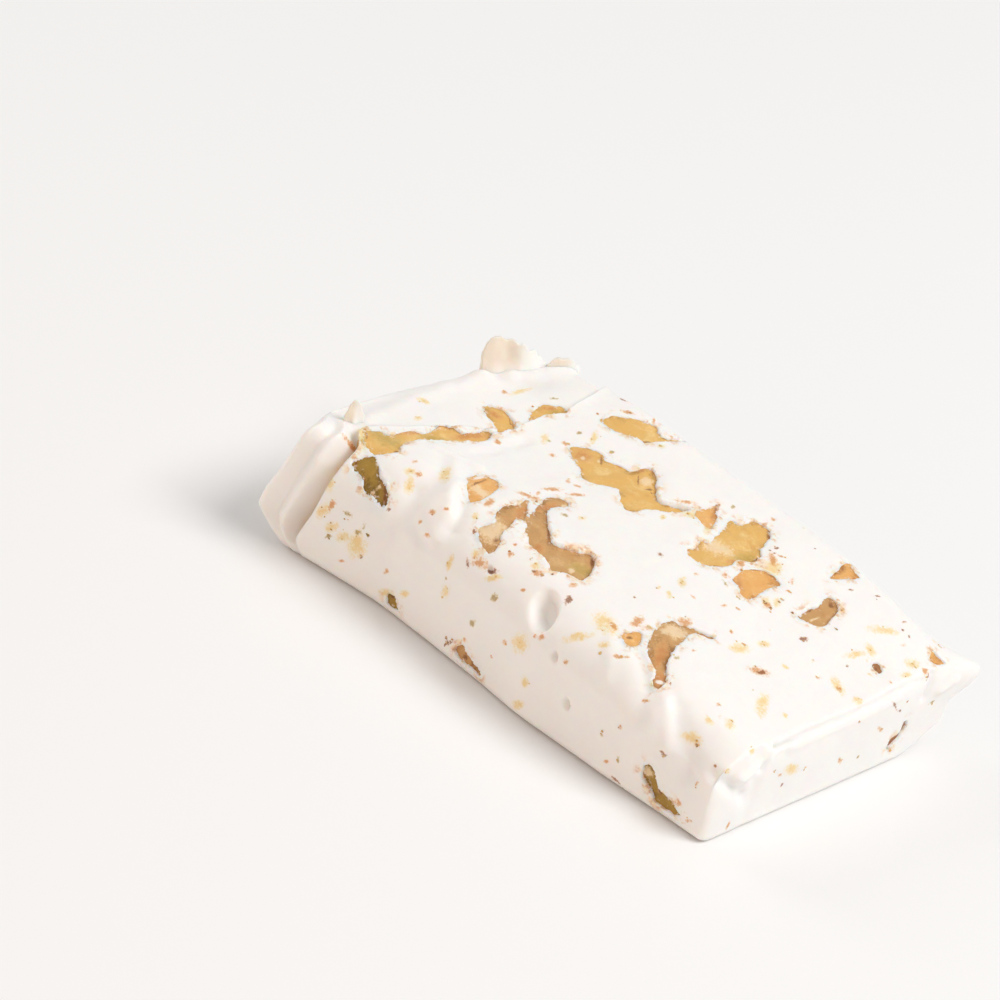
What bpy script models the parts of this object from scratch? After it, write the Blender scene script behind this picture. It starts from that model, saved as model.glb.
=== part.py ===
"""Walnut halva: one bar of white whipped nougat with walnut pieces showing in its surface.

The bar lies flat. +X runs along it, from the folded end with the wing to the thin end,
+Y across it and +Z up. Every dimension below is in millimetres, in the bar's own frame,
whose origin is moved to the middle of the footprint when the meshes are made.
"""
import bmesh
import bpy
import numpy as np
from mathutils import Matrix

MM = 0.001

# Driving dimensions of the bar.
LEFT_END = -45.4            # the folded end
RIGHT_END = 40.8            # the thin end
HALF_WIDTH = 27.2
HEIGHT = 20.3               # over the thick middle
RIGHT_DROP = 7.0            # how much lower the top is at the thin end
RIGHT_DROP_START = -5.0
FRONT_RADIUS = 9.0          # the soft front shoulder
BACK_RADIUS = 4.8
BACK_RISE = 0.9             # how much higher the top is along the back
BOTTOM_RADIUS = 2.2
END_RADIUS = 1.3
FOOTPRINT_MIDDLE = (-3.38, 1.96)

# The nougat is one sheet wrapped round: its edge, the seam, runs up the front near the
# folded end, over the shoulder and across the top.
SEAM_STATION = -38.0
SEAM_ON_FRONT = ((0, -38.2), (1.5, -38.9), (2.8, -40.0), (5, -39.3), (8, -38.3), (12.4, -37.3),
                 (16, -36.7), (20, -36.6))
SEAM_ON_TOP = ((-24, -37.4), (-20, -39.4), (-17, -38.9), (-14, -36.6), (-10, -35.0),
               (-5, -33.0), (-1, -30.4), (4, -28.8), (10, -28.6), (14, -27.6), (20, -28.2),
               (28, -30.0))
SEAM_STEP = 0.6

# The wing is the front corner of the folded end: its outer edge at each height, its sharper
# shoulder, and the groove and pleats along it, from the seam outwards.
WING_EDGE = ((0, -42.0), (2, -45.2), (4.4, -48.5), (7.5, -47.9), (13, -46.2), (19.5, -44.2),
             (22, -43.4))
END_EDGE = ((-27, -47.6), (-12, -47.4), (2, -46.3), (12, -44.6), (20, -42.0), (27, -39.4))
WING_RADIUS = 3.6
WING_RELIEF = ((0, -2.7), (1.0, -2.6), (3.2, 0.3), (4.8, -1.1), (6.2, -0.4), (7.4, 0.0))
FAR_FROM_SEAM = -14.0       # up to here the bar follows the seam's course

# Where the bar is pressed in (-) or stands out (+): how far, then the middle and the width of
# the place along x, y and z.
PRESSED = (
    (-1.3, (34.0, 4.0), (-29.0, 9.0), (12.0, 5.0)),
    (0.5, (27.0, 2.0), (-29.0, 9.0), (12.0, 6.0)),
    (0.7, (-20.5, 2.2), (-22.0, 7.0), (17.0, 7.0)),
    (-0.8, (-25.0, 2.0), (-21.0, 7.0), (17.0, 7.0)),
    (-1.6, (4.2, 1.4), (-25.6, 2.4), (16.0, 2.6)),
    (-0.9, (41.5, 2.4), (-19.0, 1.6), (9.0, 5.5)),
)

# Walnut pieces.
RECESS = 0.5                # how far a piece lies below the nougat
SOCKET_DEPTH = 4.5
GAP = 0.3                   # between a piece and its socket
REACH_OUT = 4.0             # how far a cutter stands out of the surface

# Places on the block where it is divided before it is shaped.
STATIONS_X = (-44.6, -43.4, -42.0, -40.6, -39.4, -38.5, -38.05, -37.9, -37.2, -35.8, -33.5,
              -31, -28, -25, -22, -19, -16, -13, -10, -7, -4, -1, 2, 5, 8, 11, 14, 17, 20,
              23, 26, 29, 32, 34.5, 36.5, 38.2, 39.5, 40.3)
STATIONS_Y = (-0.97, -0.9, -0.82, -0.74, -0.66, -0.56, -0.45, -0.33, -0.21, -0.09, 0.03, 0.15,
              0.27, 0.39, 0.51, 0.62, 0.72, 0.8, 0.87, 0.93, 0.98)
STATIONS_Z = (-0.95, -0.8, -0.55, -0.25, 0.05, 0.3, 0.52, 0.72, 0.9)

NOUGAT_COLOUR = (0.93, 0.90, 0.87)
WALNUT_COLOURS = {
    "gold": (0.80, 0.50, 0.19),
    "olive": (0.40, 0.24, 0.05),
    "tan": (0.60, 0.36, 0.15),
    "orange": (0.78, 0.46, 0.17),
    "brown": (0.34, 0.13, 0.04),
}
NOUGAT_ROUGHNESS = 0.45
WALNUT_ROUGHNESS = 0.6

# Each walnut piece: the side it shows on, its colour and its outline. Outlines are (x, y) on
# the top and bottom, (x, z) on the front and back, and (y, z) on the two ends.
WALNUTS = (
    ("top", "gold",
     ((-38.5, -19.1), (-37.6, -17.2), (-36.0, -15.8), (-35.3, -12.6), (-34.2, -10.8),
      (-34.2, -7.6), (-33.0, -5.8), (-31.2, -4.6), (-30.6, -1.2), (-29.6, -0.7), (-28.4, -3.2),
      (-28.9, -5.1), (-30.4, -8.1), (-31.7, -11.0), (-33.1, -14.5), (-33.4, -16.6),
      (-32.0, -18.8), (-33.0, -20.4), (-34.9, -21.5), (-37.0, -20.6))),
    ("top", "olive",
     ((-36.1, -23.8), (-35.2, -23.0), (-33.8, -22.0), (-32.2, -22.4), (-30.1, -23.3),
      (-28.6, -23.6), (-27.6, -24.6), (-28.6, -25.1), (-31.6, -25.1), (-33.4, -24.6),
      (-35.3, -24.3))),
    ("top", "gold",
     ((-35.1, 3.4), (-35.2, 5.4), (-33.8, 6.4), (-31.6, 6.3), (-29.9, 5.2), (-28.6, 3.8),
      (-28.9, 1.6), (-29.2, 0.2), (-30.6, 1.3), (-32.2, 2.4), (-33.8, 2.7))),
    ("top", "gold",
     ((-22.7, 15.9), (-23.0, 17.8), (-22.2, 18.8), (-20.1, 21.1), (-17.8, 22.6), (-15.8, 21.6),
      (-14.9, 22.2), (-14.3, 24.2), (-13.1, 24.5), (-14.0, 21.6), (-14.8, 19.4), (-15.6, 17.5),
      (-17.8, 17.0), (-20.2, 15.8))),
    ("top", "gold",
     ((-20.7, 6.2), (-21.1, 7.8), (-19.4, 9.5), (-17.2, 10.0), (-15.8, 9.2), (-13.6, 10.3),
      (-12.2, 10.3), (-11.6, 12.6), (-10.8, 13.6), (-8.5, 12.2), (-6.0, 9.6), (-4.4, 8.9),
      (-2.0, 10.8), (-0.6, 10.2), (-1.9, 6.9), (-3.8, 5.0), (-4.4, 2.2), (-5.4, 1.2), (-7.2, 2.4),
      (-9.4, 4.9), (-10.8, 4.6), (-12.4, 3.0), (-14.2, 2.4), (-17.2, 4.4))),
    ("top", "orange",
     ((-21.5, -15.8), (-22.4, -13.0), (-21.4, -11.6), (-19.6, -11.2), (-17.9, -13.4),
      (-17.1, -17.0), (-17.8, -18.9), (-19.6, -17.9))),
    ("top", "tan",
     ((-13.9, -10.8), (-13.9, -13.2), (-14.4, -15.6), (-13.5, -18.5), (-12.5, -19.4),
      (-13.6, -21.2), (-12.9, -22.6), (-10.5, -23.6), (-8.9, -23.4), (-9.2, -21.8),
      (-10.1, -20.4), (-10.5, -18.2), (-11.3, -16.4), (-10.6, -15.2), (-12.0, -13.2))),
    ("top", "tan",
     ((-11.2, -4.9), (-12.9, -6.4), (-13.2, -7.8), (-12.0, -10.9), (-11.0, -13.6), (-9.0, -16.7),
      (-6.8, -18.7), (-3.8, -19.6), (-1.3, -20.4), (-0.2, -21.3), (1.4, -19.8), (3.4, -19.0),
      (3.8, -18.4), (2.6, -15.0), (1.2, -12.4), (-0.6, -11.7), (-1.8, -13.2), (-3.4, -14.5),
      (-5.0, -15.3), (-6.4, -14.0), (-8.6, -12.0), (-10.4, -10.2), (-10.8, -8.0), (-10.0, -6.4))),
    ("top", "orange",
     ((0.3, 10.9), (0.1, 12.2), (0.6, 14.0), (0.4, 15.0), (1.6, 14.0), (2.9, 12.5), (4.2, 9.9),
      (3.2, 9.4), (1.4, 10.0))),
    ("top", "gold",
     ((5.4, 2.5), (5.9, 4.0), (5.3, 6.2), (6.2, 7.4), (5.3, 10.2), (4.6, 12.4), (3.8, 15.0),
      (5.0, 15.2), (5.8, 17.9), (7.2, 18.7), (9.2, 18.1), (10.3, 15.8), (11.0, 13.4),
      (12.1, 12.4), (12.3, 10.0), (11.2, 7.6), (11.5, 5.4), (10.6, 3.6), (9.2, 1.7), (7.2, 1.2))),
    ("top", "orange",
     ((13.5, 4.0), (13.0, 6.6), (13.6, 9.0), (15.0, 10.6), (16.9, 10.4), (18.0, 9.8), (17.5, 7.8),
      (17.6, 5.0), (17.8, 3.0), (16.6, 2.3), (15.2, 3.4))),
    ("top", "tan",
     ((23.4, 7.5), (23.1, 10.4), (23.3, 12.7), (23.1, 14.9), (24.4, 15.5), (25.5, 14.6),
      (26.5, 12.3), (26.8, 9.4), (25.6, 8.1))),
    ("top", "tan",
     ((17.9, -20.0), (16.7, -17.0), (16.3, -13.8), (17.4, -12.4), (19.2, -10.9), (21.5, -9.3),
      (21.6, -10.2), (19.8, -11.8), (19.8, -13.4), (20.6, -16.0), (21.6, -19.0), (23.1, -21.4),
      (24.9, -23.4), (24.8, -25.0), (23.4, -24.8), (22.6, -23.6), (20.6, -22.8), (19.2, -21.8))),
    ("top", "orange",
     ((15.0, -22.4), (15.0, -21.2), (15.6, -19.8), (16.6, -20.1), (18.0, -21.8), (17.6, -22.8),
      (16.2, -23.0))),
    ("top", "orange",
     ((20.5, 17.8), (20.0, 20.6), (19.1, 24.0), (19.4, 24.9), (20.6, 23.4), (22.4, 23.1),
      (21.8, 21.0))),
    ("top", "orange",
     ((37.2, 23.0), (38.6, 23.4), (39.8, 23.6), (39.6, 21.6), (38.4, 21.6))),
    ("top", "brown",
     ((35.0, 11.6), (35.5, 12.6), (36.7, 12.3), (37.1, 11.4), (36.2, 10.9))),
    ("front", "olive",
     ((27.9, 5.9), (28.8, 6.7), (30.2, 5.8), (31.4, 4.3), (34.0, 3.2), (36.2, 2.2), (34.6, 1.6),
      (31.8, 1.7), (30.4, 2.6), (28.8, 3.8))),
    ("front", "tan",
     ((-8.8, 2.8), (-7.5, 4.1), (-6.4, 3.8), (-5.0, 3.2), (-3.2, 2.4), (-2.6, 1.6), (-4.6, 1.6),
      (-7.2, 1.7))),
    ("front", "olive",
     ((-22.9, 3.0), (-21.8, 3.7), (-20.8, 2.9), (-20.2, 1.7), (-22.4, 1.6))),
    ("right", "brown",
     ((13.4, 3.5), (13.4, 4.8), (15.2, 5.8), (15.6, 7.2), (16.4, 7.2), (17.0, 6.0), (15.8, 4.2),
      (14.4, 3.3))),
    ("back", "gold",
     ((-24.0, 6.4), (-22.4, 9.4), (-20.0, 11.0), (-17.2, 11.2), (-14.6, 12.4), (-11.6, 8.4),
      (-13.2, 6.0), (-15.4, 4.8), (-20.2, 5.0))),
    ("back", "olive",
     ((-0.4, 7.6), (1.4, 10.8), (4.4, 12.4), (8.4, 11.0), (7.8, 8.6), (6.6, 6.8), (2.6, 4.6))),
    ("back", "tan",
     ((17.4, 7.6), (18.8, 10.2), (21.2, 11.2), (23.4, 10.6), (25.6, 9.0), (24.4, 5.6), (20.0, 4.6))),
    ("left", "gold",
     ((-4.6, 6.4), (-3.2, 9.4), (-0.6, 10.6), (2.4, 9.6), (5.6, 10.0), (7.8, 6.2), (5.2, 5.6),
      (2.2, 4.2))),
    ("bottom", "gold",
     ((-29.0, 10.6), (-27.4, 13.8), (-24.6, 15.0), (-21.6, 13.4), (-18.8, 12.8), (-20.4, 6.6),
      (-26.2, 5.6))),
    ("bottom", "tan",
     ((-20.6, -14.4), (-17.6, -10.6), (-13.4, -9.4), (-10.6, -11.8), (-7.4, -12.8),
      (-10.2, -17.8), (-17.6, -19.0))),
    ("bottom", "olive",
     ((8.4, 10.2), (10.8, 14.0), (14.2, 16.0), (19.6, 12.6), (18.8, 9.4), (16.8, 6.4), (11.6, 6.0))),
    ("bottom", "orange",
     ((21.6, -12.4), (23.2, -9.2), (25.8, -7.6), (30.6, -10.4), (28.4, -15.2), (23.8, -15.8))),
    ("top", "gold",
     ((-28.6, 6.8), (-30.2, 8.8), (-31.1, 10.6), (-31.1, 12.2), (-30.2, 13.4), (-28.9, 14.5),
      (-27.4, 13.7), (-27.5, 12.3), (-28.4, 10.4), (-28.5, 8.4))),
)

# Thin folds of nougat that stand up: foot, tip, direction of the length, length and
# thickness at the foot and at the tip, and how far the fold bends sideways.
FLAPS = (
    ((-41.4, 14.0, 14.5), (-40.9, 13.4, 24.8), (0.1, 1.0, 0.0), (9.6, 9.2), (2.4, 1.2), 1.1),
    ((-38.2, 24.0, 13.5), (-38.4, 25.2, 20.4), (0.45, 0.9, 0.0), (6.4, 5.0), (2.8, 1.2), 0.7),
    ((-41.6, -17.6, 15.5), (-42.4, -17.4, 22.8), (0.8, 0.6, 0.0), (3.2, 1.2), (2.0, 0.8), 0.2),
)
FLAP_STATIONS = ((-0.75, -0.45, -0.15, 0.15, 0.45, 0.75), (0.0,), (-0.2, 0.3, 0.7, 0.92))

# For each side: its outward direction and the bar's directions along an outline's two axes.
SIDES = {
    "top": ((0, 0, 1), (1, 0, 0), (0, 1, 0)),
    "bottom": ((0, 0, -1), (1, 0, 0), (0, 1, 0)),
    "front": ((0, -1, 0), (1, 0, 0), (0, 0, 1)),
    "back": ((0, 1, 0), (1, 0, 0), (0, 0, 1)),
    "right": ((1, 0, 0), (0, 1, 0), (0, 0, 1)),
    "left": ((-1, 0, 0), (0, 1, 0), (0, 0, 1)),
}


def ramp(low, high, value):
    """0 below low, 1 above high and a smooth rise between; low may be above high."""
    t = np.clip((value - low) / (high - low), 0.0, 1.0)
    return t * t * (3.0 - 2.0 * t)


def hill(value, middle, width):
    """1 at the middle, falling away over the width."""
    return np.exp(-(((value - middle) / width) ** 2))


def smooth_line(points, reach=3.0):
    """A function that follows the (place, value) points with its corners rounded."""
    places, values = np.array(points, dtype=float).T
    fine = np.linspace(places[0] - 2 * reach, places[-1] + 2 * reach, 400)
    half = max(1, int(reach / (fine[1] - fine[0])))
    window = np.hanning(2 * half + 3)[1:-1]
    line = np.pad(np.interp(fine, places, values), half, mode="edge")
    soft = np.convolve(line, window / window.sum(), mode="valid")
    return lambda value: np.interp(value, fine, soft)


seam_on_front = smooth_line(SEAM_ON_FRONT, 1.0)
seam_on_top = smooth_line(SEAM_ON_TOP, 2.0)
wing_edge = smooth_line(WING_EDGE, 1.0)
end_edge = smooth_line(END_EDGE, 4.0)
wing_relief = smooth_line(WING_RELIEF, 0.5)
front_bulge = smooth_line(((-45, 0.0), (-33, 1.2), (-25, 1.9), (-15, 1.2), (-5, 0.3),
                           (5, -1.1), (22, -1.2), (41, -0.6)), 5.0)


def top_height(x, y):
    """Height of the top, which swells over the middle and thins towards the right end."""
    thin_end = RIGHT_DROP * np.clip((x - RIGHT_DROP_START) / (RIGHT_END - RIGHT_DROP_START),
                                    0, 1) ** 2
    fold_end = (0.8 + 1.5 * ramp(6, 18, y)) * np.clip((-33 - x) / 12, 0, 1) ** 2
    back = BACK_RISE * ramp(4, 20, y) * ramp(-38, -30, x)
    wave = 0.35 * np.sin(x / 8.0 + 1.2) * np.cos(y / 7.0)
    peak = 1.3 * hill(x, -43.5, 4.0) * ramp(-16, -24, y)
    return HEIGHT - thin_end - fold_end + wave + back + peak


def bar_surface(block, inset=0.0):
    """Move points on the cube -1..1 onto the bar. Rows of x, y, z in millimetres."""
    a, b, c = block.T
    half = np.array([(RIGHT_END - LEFT_END) / 2, HALF_WIDTH, HEIGHT / 2])
    middle = (RIGHT_END + LEFT_END) / 2
    past_seam = SEAM_STATION - (a * half[0] + middle)
    upper = ramp(-0.6, 0.4, c)
    front_radius = FRONT_RADIUS + (WING_RADIUS - FRONT_RADIUS) * ramp(0, 5, past_seam)
    shoulder = front_radius + (BACK_RADIUS - front_radius) * ramp(-0.2, 0.2, b)
    side_radius = BOTTOM_RADIUS + (shoulder - BOTTOM_RADIUS) * upper
    radii = np.stack([np.full_like(a, END_RADIUS), side_radius, side_radius * 0.9], axis=1)
    corner = block * half
    inner = np.clip(corner, radii - half, half - radii)
    away = (corner - inner) / radii
    away /= np.linalg.norm(away, axis=1, keepdims=True)
    x, y, z = (inner + radii * away).T
    out = away / radii
    out /= np.linalg.norm(out, axis=1, keepdims=True)

    # The seam's station is drawn along the seam, and the stations beside it follow, out to
    # the edge of the wing and of the folded end on one side.
    x = x + middle
    level = (z + HEIGHT / 2) / HEIGHT
    height = level * HEIGHT
    seam = seam_on_front(height) + (seam_on_top(y) - seam_on_front(height)) * ramp(-24, -20, y)
    seam = seam + (SEAM_STATION - seam) * ramp(0.3, 0.0, level) * ramp(-26, -22, y)
    edge = end_edge(y) + (wing_edge(height) - end_edge(y)) * ramp(-17, -25, y)
    on_wing = np.clip((SEAM_STATION - x) / (SEAM_STATION - LEFT_END), 0, 1)
    on_bar = np.clip((x - SEAM_STATION) / (FAR_FROM_SEAM - SEAM_STATION), 0, 1)
    x = x + (edge - LEFT_END) * on_wing + (seam - SEAM_STATION) * (1 - on_wing) * (1 - on_bar)

    z = level * top_height(x, y)
    y = y + front_bulge(x) * ramp(-5, -25, y)

    # The seam: a lip on the main side, a groove and pleats on the front of the wing, deepest
    # part of the way up, and a low step on the top.
    on_wall = ramp(-18, -24, y)
    on_top = ramp(0.75, 1.0, level) * (1 - on_wall)
    up_wall = 0.3 + 0.7 * ramp(1.0, 4.5, z) + 0.25 * hill(z, 6.0, 2.0)
    groove = wing_relief(past_seam) * on_wall * up_wall * ramp(0, 1, z)
    step = SEAM_STEP * on_top
    lip = 0.3 * np.exp(np.minimum(past_seam, 0) / 1.2)
    lip = lip * np.maximum(on_wall * ramp(0, 2, z), on_top)
    move = np.where(past_seam > 0.01, groove - step, lip)

    for rise, along, across, up in PRESSED:
        move = move + rise * hill(x, *along) * hill(y, *across) * hill(z, *up)
    move = np.where(z < 0.05, 0.0, move - inset)
    x, y, z = (np.stack([x, y, z], axis=1) + out * move[:, None]).T

    # The back corner of the thin end is pinched out into an ear, clear of the floor.
    pinch = ramp(31, 40.5, x) * ramp(17, 27, y)
    y = y + 5.6 * pinch * hill(z, 10.5, 4.0)
    x = x + 1.1 * pinch * hill(z, 12.0, 3.5)
    z = z + 3.4 * pinch * ramp(10.0, 2.0, z)
    z = np.maximum(z, inset)
    return np.stack([x, y, z], axis=1)


def to_frame(points):
    """Millimetres in the bar's own frame to metres round the footprint's middle."""
    return (np.asarray(points, dtype=float) - (*FOOTPRINT_MIDDLE, 0.0)) * MM


def new_material(name, colour, roughness):
    material = bpy.data.materials.new(name)
    material.use_nodes = True
    shader = material.node_tree.nodes["Principled BSDF"]
    shader.inputs["Base Color"].default_value = (*colour, 1.0)
    shader.inputs["Roughness"].default_value = roughness
    shader.inputs["Metallic"].default_value = 0.0
    material.diffuse_color = (*colour, 1.0)
    return material


def new_object(name, mesh, collection, guide=False):
    thing = bpy.data.objects.new(name, mesh)
    collection.objects.link(thing)
    thing.hide_render = guide
    thing.display_type = "WIRE" if guide else "TEXTURED"
    return thing


def block_mesh(name, cuts, shape):
    """A cube cut at the places along its three axes, with its corners moved by shape."""
    bm = bmesh.new()
    bmesh.ops.create_cube(bm, size=2.0)
    for axis, places in enumerate(cuts):
        normal = [0, 0, 0]
        normal[axis] = 1
        for place in places:
            point = [n * place for n in normal]
            geometry = bm.verts[:] + bm.edges[:] + bm.faces[:]
            bmesh.ops.bisect_plane(bm, geom=geometry, plane_co=point, plane_no=normal)
    block = np.array([v.co for v in bm.verts])
    for vert, place in zip(bm.verts, to_frame(shape(block))):
        vert.co = place
    bmesh.ops.triangulate(bm, faces=bm.faces)
    mesh = bpy.data.meshes.new(name)
    bm.to_mesh(mesh)
    bm.free()
    return mesh


def bar_mesh(name, every, inset=0.0):
    """The bar, cut at every so many stations and shrunk by the inset."""
    half = (RIGHT_END - LEFT_END) / 2
    middle = (RIGHT_END + LEFT_END) / 2
    cuts = ([(v - middle) / half for v in STATIONS_X[::every]], STATIONS_Y[::every],
            STATIONS_Z[::every])
    return block_mesh(name, cuts, lambda block: bar_surface(block, inset))


def flap_mesh(name, foot, tip, along, lengths, thicknesses, bend):
    """A thin bent fold from its foot, inside the bar, up to its tip."""
    foot, tip, along = (np.array(v, dtype=float) for v in (foot, tip, along))
    along /= np.linalg.norm(along)
    across = np.cross((0.0, 0.0, 1.0), along)

    def shape(block):
        a, b, c = block.T
        up = (c + 1) / 2
        length = lengths[0] + (lengths[1] - lengths[0]) * up
        thick = (thicknesses[0] + (thicknesses[1] - thicknesses[0]) * up) * (1 - 0.4 * a * a)
        side = b * thick / 2 + bend * np.sin(2.4 * a + 0.4) * up
        rise = up * (1 - 0.07 * a * a)
        centre = foot + (tip - foot) * rise[:, None]
        return centre + along * (a * length / 2)[:, None] + across * side[:, None]

    return block_mesh(name, FLAP_STATIONS, shape)


def outline_ring(points, grow):
    """The closed line through the points, with each of them moved out by grow."""
    ring = np.array(points, dtype=float)
    along = np.roll(ring, -1, axis=0) - np.roll(ring, 1, axis=0)
    along /= np.linalg.norm(along, axis=1, keepdims=True)
    area = np.sum(ring[:, 0] * np.roll(ring[:, 1], -1) - ring[:, 1] * np.roll(ring[:, 0], -1))
    outward = np.stack([along[:, 1], -along[:, 0]], axis=1) * np.sign(area)
    return ring + outward * grow


def side_frame(side, depth):
    """The matrix of a side's outline plane, with its origin in the surface's own plane."""
    out, first, second = (np.array(v, dtype=float) for v in SIDES[side])
    reach = {"top": 0, "bottom": 0, "front": HALF_WIDTH, "back": HALF_WIDTH,
             "right": RIGHT_END, "left": -LEFT_END}[side]
    matrix = Matrix.Identity(4)
    for row in range(3):
        matrix[row][0], matrix[row][1] = first[row], second[row]
        matrix[row][2] = np.cross(first, second)[row]
    place = out * (reach - depth)
    matrix.translation = to_frame(place)
    return matrix


def prism(name, side, ring, inner, outer, collection):
    """The outline as a straight block from the inner to the outer level along its side."""
    curve = bpy.data.curves.new(name, "CURVE")
    curve.dimensions = "2D"
    curve.fill_mode = "BOTH"
    curve.extrude = (outer - inner) / 2 * MM
    spline = curve.splines.new("POLY")
    spline.points.add(len(ring) - 1)
    for point, (u, v) in zip(spline.points, ring * MM):
        point.co = (u, v, 0, 1)
    spline.use_cyclic_u = True
    flat = bpy.data.objects.new(name + "_outline", curve)
    collection.objects.link(flat)
    flat.matrix_world = side_frame(side, -(outer + inner) / 2)
    bpy.context.view_layer.update()
    graph = bpy.context.evaluated_depsgraph_get()
    mesh = bpy.data.meshes.new_from_object(flat.evaluated_get(graph))
    mesh.transform(flat.matrix_world)
    bpy.data.objects.remove(flat)
    bpy.data.curves.remove(curve)
    bm = bmesh.new()
    bm.from_mesh(mesh)
    bmesh.ops.remove_doubles(bm, verts=bm.verts, dist=0.00001)
    bmesh.ops.recalc_face_normals(bm, faces=bm.faces)
    bm.to_mesh(mesh)
    bm.free()
    return new_object(name, mesh, collection, guide=True)


def apply_boolean(thing, operation, other=None, group=None):
    cut = thing.modifiers.new("shape", "BOOLEAN")
    cut.solver = "EXACT"
    cut.operation = operation
    if group:
        cut.operand_type = "COLLECTION"
        cut.collection = group
    else:
        cut.object = other
    bpy.context.view_layer.update()
    graph = bpy.context.evaluated_depsgraph_get()
    mesh = bpy.data.meshes.new_from_object(thing.evaluated_get(graph))
    thing.modifiers.clear()
    thing.data = mesh


def surface_level(side, ring):
    """The lowest and highest level of the bar's surface along a side, over an outline."""
    if side != "top":
        return 0.0, 0.0
    x, y = ring.T
    over_shoulder = np.clip((FRONT_RADIUS - HALF_WIDTH - y) / FRONT_RADIUS, 0.0, 1.0)
    heights = top_height(x, y) - FRONT_RADIUS * (1 - np.sqrt(1 - over_shoulder ** 2))
    return heights.min(), heights.max()


def main():
    for old in list(bpy.data.objects):
        bpy.data.objects.remove(old)
    bar = bpy.data.collections.new("walnut_halva")
    tools = bpy.data.collections.new("cutters")
    sockets = bpy.data.collections.new("sockets")
    for group in (bar, tools, sockets):
        bpy.context.scene.collection.children.link(group)

    nougat = new_object("nougat", bar_mesh("nougat", 1), bar)
    for number, flap in enumerate(FLAPS, start=1):
        name = f"flap_{number}"
        fold = new_object(name, flap_mesh(name, *flap), tools, guide=True)
        apply_boolean(nougat, "UNION", fold)
    nougat.data.materials.append(new_material("nougat", NOUGAT_COLOUR, NOUGAT_ROUGHNESS))
    core = new_object("core", bar_mesh("core", 2, RECESS), tools, guide=True)
    finishes = {name: new_material("walnut_" + name, colour, WALNUT_ROUGHNESS)
                for name, colour in WALNUT_COLOURS.items()}
    for number, (side, finish, points) in enumerate(WALNUTS, start=1):
        low, high = surface_level(side, outline_ring(points, 0))
        low -= SOCKET_DEPTH
        name = f"walnut_{number:02d}"
        piece = prism(name, side, outline_ring(points, 0), low, high + REACH_OUT, bar)
        piece.hide_render = False
        piece.display_type = "TEXTURED"
        apply_boolean(piece, "INTERSECT", core)
        piece.data.materials.append(finishes[finish])
        prism(name + "_socket", side, outline_ring(points, GAP), low - GAP,
              high + REACH_OUT, sockets)
    apply_boolean(nougat, "DIFFERENCE", group=sockets)


main()
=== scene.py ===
import math

import bpy
import numpy as np
from mathutils import Euler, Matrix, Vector
from mathutils.bvhtree import BVHTree
from mathutils.geometry import delaunay_2d_cdt


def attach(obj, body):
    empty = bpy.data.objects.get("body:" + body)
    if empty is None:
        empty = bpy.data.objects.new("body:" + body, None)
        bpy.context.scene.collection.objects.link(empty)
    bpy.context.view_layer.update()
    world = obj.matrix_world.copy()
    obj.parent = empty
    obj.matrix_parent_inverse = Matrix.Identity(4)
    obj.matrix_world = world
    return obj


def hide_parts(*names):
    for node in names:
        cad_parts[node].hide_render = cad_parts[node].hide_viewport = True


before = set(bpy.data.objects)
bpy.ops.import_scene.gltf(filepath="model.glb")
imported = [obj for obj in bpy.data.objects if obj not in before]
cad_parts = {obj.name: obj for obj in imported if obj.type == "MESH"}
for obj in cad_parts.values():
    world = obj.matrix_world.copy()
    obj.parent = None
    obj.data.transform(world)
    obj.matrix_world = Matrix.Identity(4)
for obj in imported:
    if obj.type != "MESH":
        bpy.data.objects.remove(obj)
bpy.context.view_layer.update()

# Walnut halva: one bar of white whipped nougat with walnut pieces torn open in its surface.
# Shapes are worked out in millimetres in the bar's own frame, as the solids are, and moved to
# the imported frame, whose origin is the middle of the footprint.
MM = 0.001
FOOTPRINT_MIDDLE = (-3.38, 1.96)

# Driving dimensions of the bar, as in the solids. Only the unevenness is the scene's own.
LEFT_END = -45.4
RIGHT_END = 40.8
HALF_WIDTH = 27.2
HEIGHT = 20.3
RIGHT_DROP = 7.0
RIGHT_DROP_START = -5.0
FRONT_RADIUS = 9.0
BACK_RADIUS = 4.8
BACK_RISE = 0.9
BOTTOM_RADIUS = 2.2
END_RADIUS = 1.3
FOLD_DROP = 0.8             # how far the top sinks to the folded end
FOLD_DROP_BACK = 1.5        # and how much further at its back
WAVE_RISE = 0.35            # of the long waves over the top
WING_PEAK = 1.3
EAR_ALONG = 1.1             # how far the thin end's back corner is pinched out each way
EAR_ACROSS = 5.6
EAR_UP = 3.4
LONG_UNEVEN = 0.22          # the surface's unevenness, over long and over short stretches
SHORT_UNEVEN = 0.07
SEAM_STATION = -38.0
SEAM_ON_FRONT = ((0, -38.2), (1.5, -38.9), (2.8, -40.0), (5, -39.3), (8, -38.3), (12.4, -37.3),
                 (16, -36.7), (20, -36.6))
SEAM_ON_TOP = ((-24, -37.4), (-20, -39.4), (-17, -38.9), (-14, -36.6), (-10, -35.0),
               (-5, -33.0), (-1, -30.4), (4, -28.8), (10, -28.6), (14, -27.6), (20, -28.2),
               (28, -30.0))
SEAM_STEP = 0.6
SEAM_LIP = 0.3

# The wing is the front corner of the folded end: its outer edge at each height, its sharper
# shoulder, and the groove and pleats along it, from the seam outwards, deeper than the solid's.
WING_EDGE = ((0, -42.0), (2, -45.2), (4.4, -48.5), (7.5, -47.9), (13, -46.2), (19.5, -44.2),
             (22, -43.4))
END_EDGE = ((-27, -47.6), (-12, -47.4), (2, -46.3), (12, -44.6), (20, -42.0), (27, -39.4))
WING_RADIUS = 3.6
WING_RELIEF = ((0, -3.4), (0.9, -3.2), (2.8, 0.5), (4.3, -1.2), (5.8, -0.5), (7.4, 0.0))
FAR_FROM_SEAM = -14.0       # up to here the bar follows the seam's course

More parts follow.
